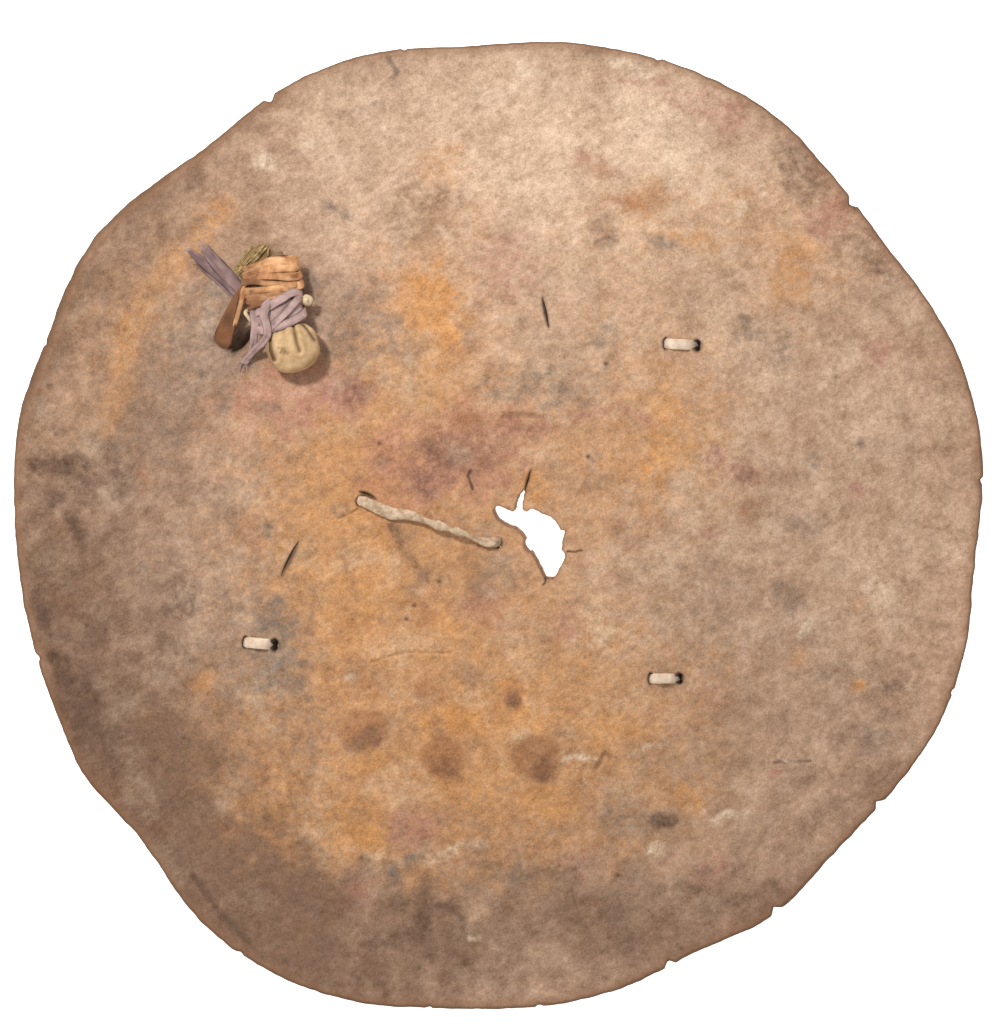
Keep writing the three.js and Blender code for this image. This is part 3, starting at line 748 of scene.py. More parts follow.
@dataclass(frozen=True)
class StitchSize:
    """A flat thong stitch: where it lies and how large it is."""

    name: str
    spot: Spot
    span: float
    width: float
    thickness: float = 1.6
    rise: float = 1.0
    tail: float = 9.0
    bend: float = 1.6
    seat_gap: float = 0.5
    hide_thickness: float = 4.5
    open_hole: float = 2.6

    def stations(self) -> np.ndarray:
        """Places along the stitch from one tail to the other.

        Returns:
            Rows of along, across, height over the face, and width.
        """
        half = self.span / 2
        over = self.seat_gap + self.thickness / 2
        under = -(self.hide_thickness + self.seat_gap + self.thickness / 2)
        side = [
            (half + self.tail, 0, under, 0.7 * self.width),
            (half + 2 * self.bend, 0, under, 0.9 * self.width),
            (half, 0, -self.hide_thickness / 2, self.width),
            (half - 1.6 * self.bend, 0, over, self.width),
            (half / 3, 0, over + self.rise, self.width),
        ]
        return np.array([(-x, y, z, w) for x, y, z, w in side] + side[::-1])


@dataclass(frozen=True)
class ThongSize:
    """The rolled hide thong across the middle."""

    spot: Spot = Spot(-72, 13, -17)
    span: float = 76.0
    width: float = 5.0
    thickness: float = 3.0
    rise: float = 7.5
    tail: float = 8.0
    seat_gap: float = 0.5
    hide_thickness: float = 4.5

    def stations(self) -> np.ndarray:
        """Places along the thong from one tail to the other.

        Returns:
            Rows of along, across, height over the face, and width.
        """
        low = self.seat_gap + self.thickness / 2
        under = -(self.hide_thickness + low)
        middle = -self.hide_thickness / 2
        run = [
            (0, 0, middle, 0.9),
            (0.05, 0, low + 0.4, 1.1),
            (0.25, -0.02, low + 0.3, 1.3),
            (0.36, 0.005, low + 0.3 * self.rise, 1.05),
            (0.6, -0.005, self.rise, 0.95),
            (0.76, -0.01, 0.9 * self.rise, 0.75),
            (0.88, -0.02, low + 1.2, 0.9),
            (0.96, -0.005, low + 0.8, 1.05),
            (1, 0.01, middle, 0.9),
        ]
        placed = [(self.span * x, self.span * y, z, share * self.width) for x, y, z, share in run]
        tail_width = 0.7 * self.width
        return np.array(
            [(-self.tail, 0, under, tail_width), (-self.tail / 3, 0, under, tail_width)]
            + placed
            + [(self.span + 2.2, 0, 1.4 * under, tail_width)]
        )


@dataclass(frozen=True)
class HideCuts:
    """The tear, slits, holes and thong slots of the hide."""

    thickness: float = 4.5
    tear_middle: tuple[float, float] = (15.7, -4.4)
    tear_length: float = 45.0
    tear_lean: tuple[float, float] = (1.1, 0.9)
    tear_shares: tuple[tuple[float, float], ...] = (
        (-0.407, 0.275), (-0.341, 0.316), (-0.203, 0.264), (-0.167, 0.275), (-0.142, 0.387),
        (-0.08, 0.489), (-0.05, 0.505), (-0.076, 0.336), (-0.065, 0.275), (-0.019, 0.254),
        (0.032, 0.285), (0.154, 0.233), (0.246, 0.193), (0.308, 0.132), (0.359, 0.05),
        (0.405, 0.034), (0.374, -0.103), (0.374, -0.175), (0.405, -0.256), (0.339, -0.399),
        (0.277, -0.492), (0.175, -0.492), (0.134, -0.399), (0.032, -0.216), (-0.009, -0.206),
        (-0.06, -0.124), (-0.055, -0.042), (-0.152, 0.06), (-0.254, 0.101), (-0.356, 0.173),
    )  # fmt: skip
    slits: tuple[tuple[float, float, float, float, float, float], ...] = (
        (14.8, 23, 11.5, 1.1, 74, 1),
        (24, 109.5, 16, 1.5, 102, 1),
        (-107, -17, 20, 2.2, 63, -1.1),
        (-67, 15.6, 9, 2.2, -24, -1),
    )
    bundle_hole: tuple[float, float, float, float, float, float] = (-132, 96, 16.5, 7, 53.5, 1.9)
    strap_face: tuple[float, float] = (10.2, 33.9)
    strap_back: tuple[float, float] = (8.2, 35.4)
    strap_slot: tuple[float, float, float] = (3.2, 7.4, 145.0)
    point_gap: float = 0.55

    def openings(
        self, stitches: tuple[StitchSize, ...], thong: ThongSize, bundle: Spot
    ) -> list[Opening]:
        """Lists every opening in the hide.

        Args:
            stitches: The stitches that need a slot at each end.
            thong: The thong that needs a hole at each end.
            bundle: Where the bundle lies, whose strap goes through the hide.

        Returns:
            The openings, each outline turning to the left.
        """
        made = [self._tear()]
        for x, y, length, width, turn, lean in self.slits:
            made.append(self._oval(Spot(x, y, turn), length, width, lean, 0.35))
        x, y, length, width, turn, lean = self.bundle_hole
        made.append(self._oval(Spot(x, y, turn), length, width, lean, 0.5))
        for stitch in stitches:
            made += self._stitch_slots(stitch)
        for face_x, back_x in ((1.2, -1.5), (thong.span - 1, thong.span + 2.4)):
            made.append(self._hole(thong.spot, (face_x, 0), (back_x, 0), (4.4, 5.6, 0), 0.5))
        made.append(self._hole(bundle, self.strap_face, self.strap_back, self.strap_slot, 0.2))
        return made

    def _tear(self) -> Opening:
        """Cuts the ragged tear at the middle.

        Returns:
            The tear, whose back is set off a little so that its wall shows.
        """
        corners = np.array(self.tear_shares) * self.tear_length + np.array(self.tear_middle)
        looped = np.vstack([corners[-1:], corners, corners[:2]])
        outline = smooth_curve(looped, 9)[9:-10]
        ragged = 0.28 * np.column_stack(
            [
                SoftNoise(41, 1.7).at(outline[:, 0], outline[:, 1]),
                SoftNoise(42, 1.7).at(outline[:, 1], outline[:, 0]),
            ]
        )
        outline = self._left_turning(outline + ragged)
        return Opening(outline, outline + np.array(self.tear_lean), 0.45, 2.2)

    def _oval(self, spot: Spot, length: float, width: float, lean: float, lip: float) -> Opening:
        """Cuts a slit or hole that goes through at a slant.

        Args:
            spot: Its middle and heading.
            length: Its length.
            width: Its greatest width.
            lean: How far it slants to the side for each millimetre down.
            lip: How high the hide curls up round it.

        Returns:
            The opening.
        """
        count = max(14, int((length + width) * 1.6 / self.point_gap))
        turn = np.arange(count) * FULL_TURN / count
        side = np.sin(turn) * np.sqrt(np.abs(np.sin(turn)))
        along, across = length / 2 * np.cos(turn), width / 2 * side
        return Opening(
            spot.to_plan(along, across), spot.to_plan(along, across - lean * self.thickness), lip
        )

    def _hole(
        self,
        spot: Spot,
        face: tuple[float, float],
        back: tuple[float, float],
        size: tuple[float, float, float],
        lip: float,
    ) -> Opening:
        """Cuts a hole for a thong that goes through at a slant.

        Args:
            spot: The frame that the places are given in.
            face: Its middle at the face.
            back: Its middle at the back.
            size: Its length, its width and how far it is turned in degrees.
            lip: How high the hide curls up round it.

        Returns:
            The opening.
        """
        length, width, turned = size
        count = max(16, int((length + width) * 1.6 / self.point_gap))
        turn = np.arange(count) * FULL_TURN / count
        local = Spot(0, 0, turned).to_plan(length / 2 * np.cos(turn), width / 2 * np.sin(turn))
        return Opening(
            spot.to_plan(local[:, 0] + face[0], local[:, 1] + face[1]),
            spot.to_plan(local[:, 0] + back[0], local[:, 1] + back[1]),
            lip,
            1.2,
        )

    def _stitch_slots(self, stitch: StitchSize) -> list[Opening]:
        """Cuts the two slots of a stitch, the right one worn open.

        Args:
            stitch: The stitch.

        Returns:
            The two slots.
        """
        half, width = stitch.span / 2, stitch.width + 1.0
        worn = stitch.open_hole
        left = self._hole(stitch.spot, (-(half - 0.5), 0), (-(half + 2), 0), (3.0, width, 0), 0.35)
        right = self._hole(
            stitch.spot, (half - 0.2 + worn / 2, 0), (half + 3.8 + worn / 2, 0), (2.0 + worn, width, 0), 0.35
        )
        return [left, right]

    @staticmethod
    def _left_turning(outline: np.ndarray) -> np.ndarray:
        """Makes an outline turn to the left.

        Args:
            outline: Rows of X and Y.

        Returns:
            The outline, reversed if need be.
        """
        following = np.roll(outline, -1, axis=0)
        area = np.sum(outline[:, 0] * following[:, 1] - following[:, 0] * outline[:, 1])
        return outline if area > 0 else outline[::-1]


def inside_outline(x: np.ndarray, y: np.ndarray, outline: np.ndarray) -> np.ndarray:
    """Tests which places lie inside an outline.

    Args:
        x: Places along X in millimetres.
        y: Places along Y.
        outline: Rows of X and Y.

    Returns:
        True for each place inside.
    """
    inside = np.zeros(len(x), bool)
    low, high = outline.min(axis=0), outline.max(axis=0)
    near = np.flatnonzero((x >= low[0]) & (x <= high[0]) & (y >= low[1]) & (y <= high[1]))
    for (x0, y0), (x1, y1) in zip(outline, np.roll(outline, -1, axis=0)):
        if y0 == y1:
            continue
        crosses = ((y0 > y[near]) != (y1 > y[near])) & (
            x[near] < (x1 - x0) * (y[near] - y0) / (y1 - y0) + x0
        )
        inside[near[crosses]] ^= True
    return inside


@dataclass
class Sheeting:
    """A flat triangle mesh inside a rim, with its openings left out."""

    points: np.ndarray
    triangles: np.ndarray
    loops: list[np.ndarray]


class FlatMesher:
    """Fills the space between a rim and its openings with triangles."""

    CLEAR_SHARE = 0.55
    TINY = 1e-5

    def fill(self, rim: np.ndarray, holes: list[np.ndarray], inner: np.ndarray, gaps: np.ndarray) -> Sheeting:
        """Makes the triangles.

        Args:
            rim: Outline of the rim, turning left.
            holes: Outlines of the openings, turning left.
            inner: Points wanted between them.
            gaps: Spacing at each of those points.

        Returns:
            The mesh, with the point numbers of each loop, the rim's first.
        """
        outlines = [rim, *holes]
        edge_points = np.vstack(outlines)
        tree = kdtree.KDTree(len(edge_points))
        for number, (x, y) in enumerate(edge_points):
            tree.insert((x, y, 0), number)
        tree.balance()
        clear = np.array([tree.find((x, y, 0))[2] for x, y in inner]) > self.CLEAR_SHARE * gaps
        points = np.vstack([edge_points, inner[clear]])
        edges, loops, start = [], [], 0
        for outline in outlines:
            numbers = np.arange(start, start + len(outline))
            edges += list(zip(numbers.tolist(), np.roll(numbers, -1).tolist()))
            loops.append(numbers)
            start += len(outline)
        made = delaunay_2d_cdt([Vector(p) for p in points.tolist()], edges, [], 0, self.TINY)
        placed = np.array([tuple(v) for v in made[0]])
        new_number = np.full(len(points), -1)
        for number, sources in enumerate(made[3]):
            new_number[list(sources)] = number
        triangles = np.array(made[2])
        centres = placed[triangles].mean(axis=1)
        keep = inside_outline(centres[:, 0], centres[:, 1], rim)
        for hole in holes:
            keep &= ~inside_outline(centres[:, 0], centres[:, 1], hole)
        return Sheeting(placed, triangles[keep], [new_number[loop] for loop in loops])


@dataclass(frozen=True)
class RimEdge:
    """How the cut edge of the disc looks close to."""

    points: int = 1180
    bevel: float = 1.1
    wide_bevel: float = 3.4
    wide_from: float = 126.0
    wide_to: float = 172.0
    drop_share: float = 0.62
    roughness: float = 0.32
    nicks: tuple[tuple[float, float, float], ...] = (
        (118, 3, 3.2), (291.5, 3, 3.2), (306, 3, 3.2), (324, 3, 3.2), (42.3, 2.6, 3.4), (5.4, 1.6, 1.8),
        (71, 1.2, 2), (101, 1.0, 1.6), (158, 1.1, 1.7), (196, 1.3, 2.2), (239, 1.2, 2), (262, 1.0, 1.5),
        (275, 1.1, 1.8), (340, 1.2, 2),
    )  # fmt: skip


class HideDisc:
    """The rawhide disc: its domed face, its cuts and its worn edge."""

    BASE_GAP = 2.5
    FINE_GAP = 1.1
    FINEST_GAP = 0.5
    BACK_GAP = 5.0
    FINE_BAND = 0.955
    WRINKLE_GAP = 3.6
    WRINKLE_HEIGHT = 0.16
    LINE_REACH = 2.6

    def __init__(
        self,
        form: DiscForm,
        edge: RimEdge,
        openings: list[Opening],
        creases: CreaseTable,
        painter: HidePainter,
    ) -> None:
        """Keeps what the disc is made from.

        Args:
            form: The height of the face.
            edge: The look of the cut edge.
            openings: The cuts and holes.
            creases: The cracks and folds.
            painter: The stains, and the broad washes of painted light and shade.
        """
        self._form = form
        self._edge = edge
        self._openings = openings
        self._creases = creases
        self._painter = painter
        self._scale, self._middle_x, self._middle_y = form.rim.scale_and_middle()

    def build(self, finish: bpy.types.Material) -> bpy.types.Object:
        """Makes the disc.

        Args:
            finish: The hide's material.

        Returns:
            The disc as one closed mesh.
        """
        angles = np.arange(self._edge.points) * FULL_TURN / self._edge.points
        radius = self._cut_radius(angles)
        bevel = self._bevel(angles)
        rim_face = self._ring(angles, radius - bevel)
        rim_back = self._ring(angles, radius)
        mesher = FlatMesher()
        face = mesher.fill(rim_face, [o.face for o in self._openings], *self._face_points())
        back = mesher.fill(rim_back, [o.back for o in self._openings], *self._back_points())
        face_x, face_y = face.points[:, 0], face.points[:, 1]
        relief, face_shade = self._relief(face_x, face_y)
        top = np.column_stack([face.points, self._form.height(face_x, face_y) + relief])
        back_z = self._form.height(back.points[:, 0], back.points[:, 1]) - self._form.thickness
        under = np.column_stack([back.points, np.maximum(0, back_z)])
        rims, rim_marks = self._rim_rings(angles, radius, bevel)
        points = np.vstack([top, rims, under])
        faces = self._join(face, back, len(top), len(top) + len(rims))
        marks = self._painter.fields(points[:, 0], points[:, 1])
        # Painted shade: the lip mark darkens a narrow band along the rim's edge.
        lip = np.concatenate([self._rim_edge_shade(face_x, face_y, rim_face), rim_marks, np.zeros(len(under))])
        # Painted shade: the walls of every hole but the tear darken to near black towards the back.
        depth = np.zeros(len(under))
        for loop in back.loops[2:]:
            depth[loop] = 1.0
        marks["crack"] = np.concatenate([face_shade, np.zeros(len(rims)), depth])
        marks["lip"] = lip
        # Painted shade: the rim's turned-down edge takes the dark edge colour, the back and the openings'
        # walls half of it.
        marks["raw"] = np.concatenate([np.zeros(len(top)), np.ones(len(rims)), np.full(len(under), 0.5)])
        log.info("hide: %d points, %d faces", len(points), len(faces))
        made = add_mesh("rawhide_disc", points, faces, finish, marks)
        self._sharpen(made.data, face.loops[1:])
        return made

    def _ring(self, angles: np.ndarray, radius: np.ndarray) -> np.ndarray:
        """Turns angles and radii into plan places.

        Args:
            angles: Angles in radians.
            radius: Radii in millimetres.

        Returns:
            Rows of X and Y.
        """
        return np.column_stack(
            [self._middle_x + radius * np.cos(angles), self._middle_y + radius * np.sin(angles)]
        )

    def _cut_radius(self, angles: np.ndarray) -> np.ndarray:
        """Radius of the knife-cut edge, with its nicks and unevenness.

        Args:
            angles: Angles in radians.

        Returns:
            Radii in millimetres.
        """
        radius = self._scale * self._form.rim.share(angles)
        run = np.cos(angles) * self._scale, np.sin(angles) * self._scale
        radius = radius + self._edge.roughness * (
            SoftNoise(51, 7).at(*run) + 0.6 * SoftNoise(52, 2.6).at(*run) - 0.6
        )
        for place, depth, reach in self._edge.nicks:
            away = np.abs((np.degrees(angles) - place + 180) % 360 - 180) * math.radians(1) * self._scale
            radius -= depth * np.clip(1 - away / reach, 0, 1) ** 0.8
        return radius

    def _bevel(self, angles: np.ndarray) -> np.ndarray:
        """How far in the worn edge begins to slope.

        Args:
            angles: Angles in radians.

        Returns:
            Widths in millimetres.
        """
        degrees = np.degrees(angles)
        wide = smooth_between(degrees, self._edge.wide_from, self._edge.wide_from + 10)
        wide *= 1 - smooth_between(degrees, self._edge.wide_to - 10, self._edge.wide_to)
        uneven = 1 + 0.35 * SoftNoise(53, 11).at(np.cos(angles) * self._scale, np.sin(angles) * self._scale)
        return uneven * (self._edge.bevel + wide * (self._edge.wide_bevel - self._edge.bevel))

    def _rim_rings(
        self, angles: np.ndarray, radius: np.ndarray, bevel: np.ndarray
    ) -> tuple[np.ndarray, np.ndarray]:
        """Makes the two rings that round the edge off.

        Args:
            angles: Angles in radians.
            radius: Radii of the cut edge.
            bevel: Widths of the worn slope.

        Returns:
            Rows of places, and how much each belongs to the dark edge, painted shade on the turned-down rim.
        """
        edge = self._ring(angles, radius)
        height = self._form.height(edge[:, 0], edge[:, 1])
        out = self._form.rim.edge_round
        rows, marks = [], []
        for grown, drop in ((0.45 * out, self._edge.drop_share * bevel), (out, 0.6 * self._form.thickness)):
            ring = self._ring(angles, radius + grown)
            rows.append(np.column_stack([ring, np.maximum(0.4, height - drop)]))
            marks.append(np.ones(len(angles)))
        return np.vstack(rows), np.concatenate(marks)

    def _rim_edge_shade(self, x: np.ndarray, y: np.ndarray, rim: np.ndarray) -> np.ndarray:
        """How close each place is to the edge, for the painted shade along the rim.

        Args:
            x: Places along X in millimetres.
            y: Places along Y.
            rim: Outline of the rim.

        Returns:
            1 at the edge, falling to 0 a little way in.
        """
        tree = kdtree.KDTree(len(rim))
        for number, (rim_x, rim_y) in enumerate(rim):
            tree.insert((rim_x, rim_y, 0), number)
        tree.balance()
        _, share = self._form.polar(x, y)
        lip = np.zeros(len(x))
        near = np.flatnonzero(share > 0.95)
        away = np.array([tree.find((x[i], y[i], 0))[2] for i in near])
        lip[near] = np.exp(-((away / self.LINE_REACH) ** 2))
        return lip

    def _relief(self, x: np.ndarray, y: np.ndarray) -> tuple[np.ndarray, np.ndarray]:
        """Works out cracks, wrinkles and the lips round openings.

        Args:
            x: Places along X in millimetres.
            y: Places along Y.

        Returns:
            Heights to add, and how dark each place is: painted shade in the creases and pits and along the
            openings' edges.
        """
        height, dark = self._creases.relief(x, y)
        for opening in self._openings:
            low, high = opening.face.min(axis=0) - 8, opening.face.max(axis=0) + 8
            near = np.flatnonzero((x > low[0]) & (x < high[0]) & (y > low[1]) & (y < high[1]))
            looped = np.vstack([opening.face, opening.face[:1]])
            away = distance_to_line(x[near], y[near], tuple(map(tuple, looped)))
            height[near] += opening.lip * np.exp(-((away / opening.reach) ** 2))
            # Painted shade: a dark line along each opening's edge.
            dark[near] = join_strengths(dark[near], 0.55 * np.exp(-((away / 0.7) ** 2)))
        angle, share = self._form.polar(x, y)
        right = np.exp(-((((angle - 0.42) + np.pi) % FULL_TURN - np.pi) / 0.55) ** 2)
        zone = right * smooth_between(share, 0.5, 0.75) * (1 - smooth_between(share, 0.96, 1))
        run = share * self._scale + 4 * SoftNoise(61, 26).at(x, y) + 1.1 * SoftNoise(62, 9).at(x, y)
        strength = 0.5 + 0.5 * SoftNoise(63, 13).at(x, y)
        height += self.WRINKLE_HEIGHT * zone * strength * np.sin(FULL_TURN * run / self.WRINKLE_GAP)
        return height, dark

    def _face_points(self) -> tuple[np.ndarray, np.ndarray]:
        """Spreads points over the face, closer together where there is more to show.

        Returns:
            Rows of X and Y, and the spacing at each.
        """
        rows, gaps = [], []
        for level, gap in enumerate((self.BASE_GAP, self.FINE_GAP, self.FINEST_GAP)):
            grid = self._hex_grid(gap)
            wanted = self._level(grid[:, 0], grid[:, 1]) == level
            rows.append(grid[wanted])
            gaps.append(np.full(wanted.sum(), gap))
        return np.vstack(rows), np.concatenate(gaps)

    def _back_points(self) -> tuple[np.ndarray, np.ndarray]:
        """Spreads points over the plain back.

        Returns:
            Rows of X and Y, and the spacing at each.
        """
        grid = self._hex_grid(self.BACK_GAP)
        _, share = self._form.polar(grid[:, 0], grid[:, 1])
        grid = grid[share < 0.985]
        return grid, np.full(len(grid), 0.5 * self.BACK_GAP)

    def _hex_grid(self, gap: float) -> np.ndarray:
        """Lays out evenly spaced points over the disc's box.

        Args:
            gap: Distance between neighbours in millimetres.

        Returns:
            Rows of X and Y.
        """
        half = 1.06 * self._scale
        columns, rows = np.arange(-half, half, gap), np.arange(-half, half, gap * math.sqrt(3) / 2)
        x, y = np.meshgrid(columns, rows)
        x = x + (np.arange(len(rows)) % 2)[:, None] * gap / 2
        grid = np.column_stack([x.ravel() + self._middle_x, y.ravel() + self._middle_y])
        return grid + np.random.default_rng(71).uniform(-0.12, 0.12, grid.shape) * gap

    def _level(self, x: np.ndarray, y: np.ndarray) -> np.ndarray:
        """How fine the mesh is wanted at each place.

        Args:
            x: Places along X in millimetres.
            y: Places along Y.

        Returns:
            0 for the base spacing, 2 for the finest, and -1 off the disc.
        """
        angle, share = self._form.polar(x, y)
        level = np.zeros(len(x), int)
        off_right = np.abs((angle - 0.42 + np.pi) % FULL_TURN - np.pi)
        level[(off_right < 0.5) & (share > 0.62)] = 1
        level[share > self.FINE_BAND] = 1
        level[np.hypot(x - 8, y + 4) < 44] = 1
        level[np.hypot(x + 120, y - 105) < 34] = 1
        level[self._creases.nearness(x, y) < 2.6] = 2
        for opening in self._openings:
            low, high = opening.face.min(axis=0) - 3, opening.face.max(axis=0) + 3
            near = np.flatnonzero((x > low[0]) & (x < high[0]) & (y > low[1]) & (y < high[1]))
            looped = np.vstack([opening.face, opening.face[:1]])
            away = distance_to_line(x[near], y[near], tuple(map(tuple, looped)))
            level[near[away < 2.2]] = 2
        level[share > 0.995] = -1
        return level

    @staticmethod
    def _join(face: Sheeting, back: Sheeting, rings_start: int, back_start: int) -> list[tuple[int, ...]]:
        """Joins face, rim, openings' walls and back into one closed surface.

        Args:
            face: The flat mesh of the face.
            back: The flat mesh of the back.
            rings_start: Number of the first point of the rim's rings.
            back_start: Number of the first point of the back.

        Returns:
            The faces, all turned outwards.
        """
        faces = [tuple(t) for t in face.triangles.tolist()]
        faces += [(a, c, b) for a, b, c in (back.triangles + back_start).tolist()]
        count = len(face.loops[0])
        rings = [
            face.loops[0],
            np.arange(rings_start, rings_start + count),
            np.arange(rings_start + count, rings_start + 2 * count),
            back.loops[0] + back_start,
        ]
        for upper, lower in zip(rings, rings[1:]):
            upper_next, lower_next = np.roll(upper, -1), np.roll(lower, -1)
            faces += list(zip(upper.tolist(), lower.tolist(), lower_next.tolist(), upper_next.tolist()))
        for top_loop, back_loop in zip(face.loops[1:], back.loops[1:]):
            under = back_loop + back_start
            faces += list(
                zip(
                    top_loop.tolist(), np.roll(top_loop, -1).tolist(),
                    np.roll(under, -1).tolist(), under.tolist(),
                )
            )
        return faces

    @staticmethod
    def _sharpen(mesh: bpy.types.Mesh, loops: list[np.ndarray]) -> None:
        """Marks the edges of openings as sharp.

        Args:
            mesh: The disc's mesh.
            loops: Point numbers round each opening at the face.
        """
        loop_of = np.full(len(mesh.vertices), -1)
        for number, loop in enumerate(loops):
            loop_of[loop] = number
        ends = np.zeros(2 * len(mesh.edges), int)
        mesh.edges.foreach_get("vertices", ends)
        ends = loop_of[ends.reshape(-1, 2)]
        sharp = mesh.attributes.new("sharp_edge", "BOOLEAN", "EDGE")
        sharp.data.foreach_set("value", (ends[:, 0] >= 0) & (ends[:, 0] == ends[:, 1]))


def facing_out(points: np.ndarray, faces: list[tuple[int, ...]]) -> list[tuple[int, ...]]:
    """Turns the faces of a closed shell outwards.

    Args:
        points: Places of its corners.
        faces: Corner numbers of each face.

    Returns:
        The faces, all reversed if they faced in.
    """
    volume = 0.0
    for face in faces:
        first = points[face[0]]
        for second, third in zip(face[1:], face[2:]):
            volume += float(np.dot(first, np.cross(points[second], points[third])))
    return faces if volume > 0 else [face[::-1] for face in faces]


@dataclass
class Shell:
    """A closed shell being built up, with marks at its points."""

    MARKS = ("along", "across", "fold", "shade")

    points: np.ndarray
    faces: list[tuple[int, ...]]
    marks: dict[str, np.ndarray]

    @staticmethod
    def joined(shells: list["Shell"]) -> "Shell":
        """Puts several shells into one mesh.

        Args:
            shells: The shells, all with the same marks.

        Returns:
            One shell that holds them all.
        """
        faces, start = [], 0
        for shell in shells:
            faces += [tuple(number + start for number in face) for face in shell.faces]
            start += len(shell.points)
        marks = {name: np.concatenate([s.marks[name] for s in shells]) for name in shells[0].marks}
        return Shell(np.vstack([s.points for s in shells]), faces, marks)

    @staticmethod
    def tube(rings: np.ndarray, marks: dict[str, np.ndarray]) -> "Shell":
        """Joins rings of points into a closed tube with closed ends.

        Args:
            rings: Places as rings by points by three.
            marks: Numbers as rings by points for each mark.

        Returns:
            The shell.
        """
        count, around = rings.shape[:2]
        numbers = np.arange(count * around).reshape(count, around)
        following = np.roll(numbers, -1, axis=1)
        faces = np.stack([numbers[:-1], following[:-1], following[1:], numbers[1:]], axis=-1)
        faces = [tuple(face) for face in faces.reshape(-1, 4).tolist()]
        ends = [rings[0].mean(axis=0), rings[-1].mean(axis=0)]
        points = np.vstack([rings.reshape(-1, 3), *[end[None] for end in ends]])
        first, last = count * around, count * around + 1
        faces += [(first, b, a) for a, b in zip(numbers[0].tolist(), following[0].tolist())]
        faces += [(last, a, b) for a, b in zip(numbers[-1].tolist(), following[-1].tolist())]
        flat = {
            name: np.concatenate([values.ravel(), [values[0].mean(), values[-1].mean()]])
            for name, values in marks.items()
        }
        return Shell(points, facing_out(points, faces), flat)


@dataclass(frozen=True)
class Weave:
    """How a ribbon's surface wrinkles."""

    along: float = 5.0
    across: float = 1.6
    height: float = 0.25
    seed: int = 1


class Ribbon:
    """A band that follows a path, with rounded edges and small wrinkles."""

    ACROSS_POINTS = 11
    EDGE_POWER = 6

    def __init__(self, thickness: float, weave: Weave, shade: float = 0.0) -> None:
        """Keeps the band's make.

        Args:
            thickness: Its thickness in millimetres.
            weave: Its wrinkles.
            shade: How much of the darker shade colour it takes, from 0 to 1; on the buckskin's strap this is
                painted shade.
        """
        self._thickness = thickness
        self._weave = weave
        self._shade = shade

    def shell(self, path: np.ndarray, side: np.ndarray, up: np.ndarray, width: np.ndarray) -> Shell:
        """Sweeps the band.

        Args:
            path: Its middle line.
            side: Unit directions across it.
            up: Unit directions off its face.
            width: Its width at each place.

        Returns:
            The closed band.
        """
        u = np.cos(np.linspace(np.pi, 0, self.ACROSS_POINTS))
        v = np.sqrt(np.clip(1 - np.abs(u) ** self.EDGE_POWER, 0, 1))
        across = np.concatenate([u, u[-2:0:-1]])
        lift = np.concatenate([v, -v[-2:0:-1]])
        run = np.concatenate([[0], np.cumsum(np.linalg.norm(np.diff(path, axis=0), axis=1))])
        offset = across[None, :] * width[:, None] / 2
        wrinkle = SoftNoise(self._weave.seed, 1.0).at(
            run[:, None] / self._weave.along + 40, offset / self._weave.across + 40
        )
        height = self._weave.height * wrinkle + lift[None, :] * self._thickness / 2
        rings = path[:, None, :] + side[:, None, :] * offset[:, :, None] + up[:, None, :] * height[:, :, None]
        ones = np.ones_like(offset)
        # Painted shade: the fold mark is lower in the wrinkles' hollows and along the band's edges, which the
        # finish paints darker.
        edge = -0.8 * smooth_between(np.abs(across), 0.75, 1)[None, :] * ones
        marks = {"along": run[:, None] * ones, "across": offset, "fold": 0.6 * wrinkle + edge}
        return Shell.tube(rings, marks | {"shade": self._shade * ones})


@dataclass(frozen=True)
class BundleFrame:
    """Where the bundle lies, with its own axes: along to its mouth, left, and off the hide."""

    spot: Spot
    form: DiscForm

    def to_world(self, local: np.ndarray) -> np.ndarray:
        """Turns the bundle's places into the disc's.

        Args:
            local: Rows of along, left and off the hide.

        Returns:
            Rows of X, Y and Z in millimetres.
        """
        plan = self.spot.to_plan(local[:, 0], local[:, 1])
        ground = self.form.height(plan[:, 0], plan[:, 1])
        # Builds the packed middle of the wad.
        return np.column_stack([plan, local[:, 2] + ground])


@dataclass(frozen=True)
class Core:
    """The oval that bands are wound round."""

    left: float
    level: float
    half_width: float
    half_height: float

    def wound(self, ribbon: Ribbon, stations: Stations, steps: int) -> Shell:
        """Winds a band round the oval.

        Args:
            ribbon: The band.
            stations: Rows of place along, angle in degrees from the left side over the top, lift and width.
            steps: Rows from each station to the next.

        Returns:
            The wound band.
        """
        rows = smooth_curve(np.array(stations), steps)
        angle, lift = np.radians(rows[:, 1]), rows[:, 2]
        path = np.column_stack(
            [
                rows[:, 0],
                self.left + (self.half_width + lift) * np.cos(angle),
                self.level + (self.half_height + lift) * np.sin(angle),
            ]
        )
        up = unit(
            np.column_stack([0 * angle, self.half_height * np.cos(angle), self.half_width * np.sin(angle)])
        )
        tangent = unit(np.gradient(path, axis=0))
        side = unit(np.cross(up, tangent))
        return ribbon.shell(path, side, unit(np.cross(tangent, side)), rows[:, 3])


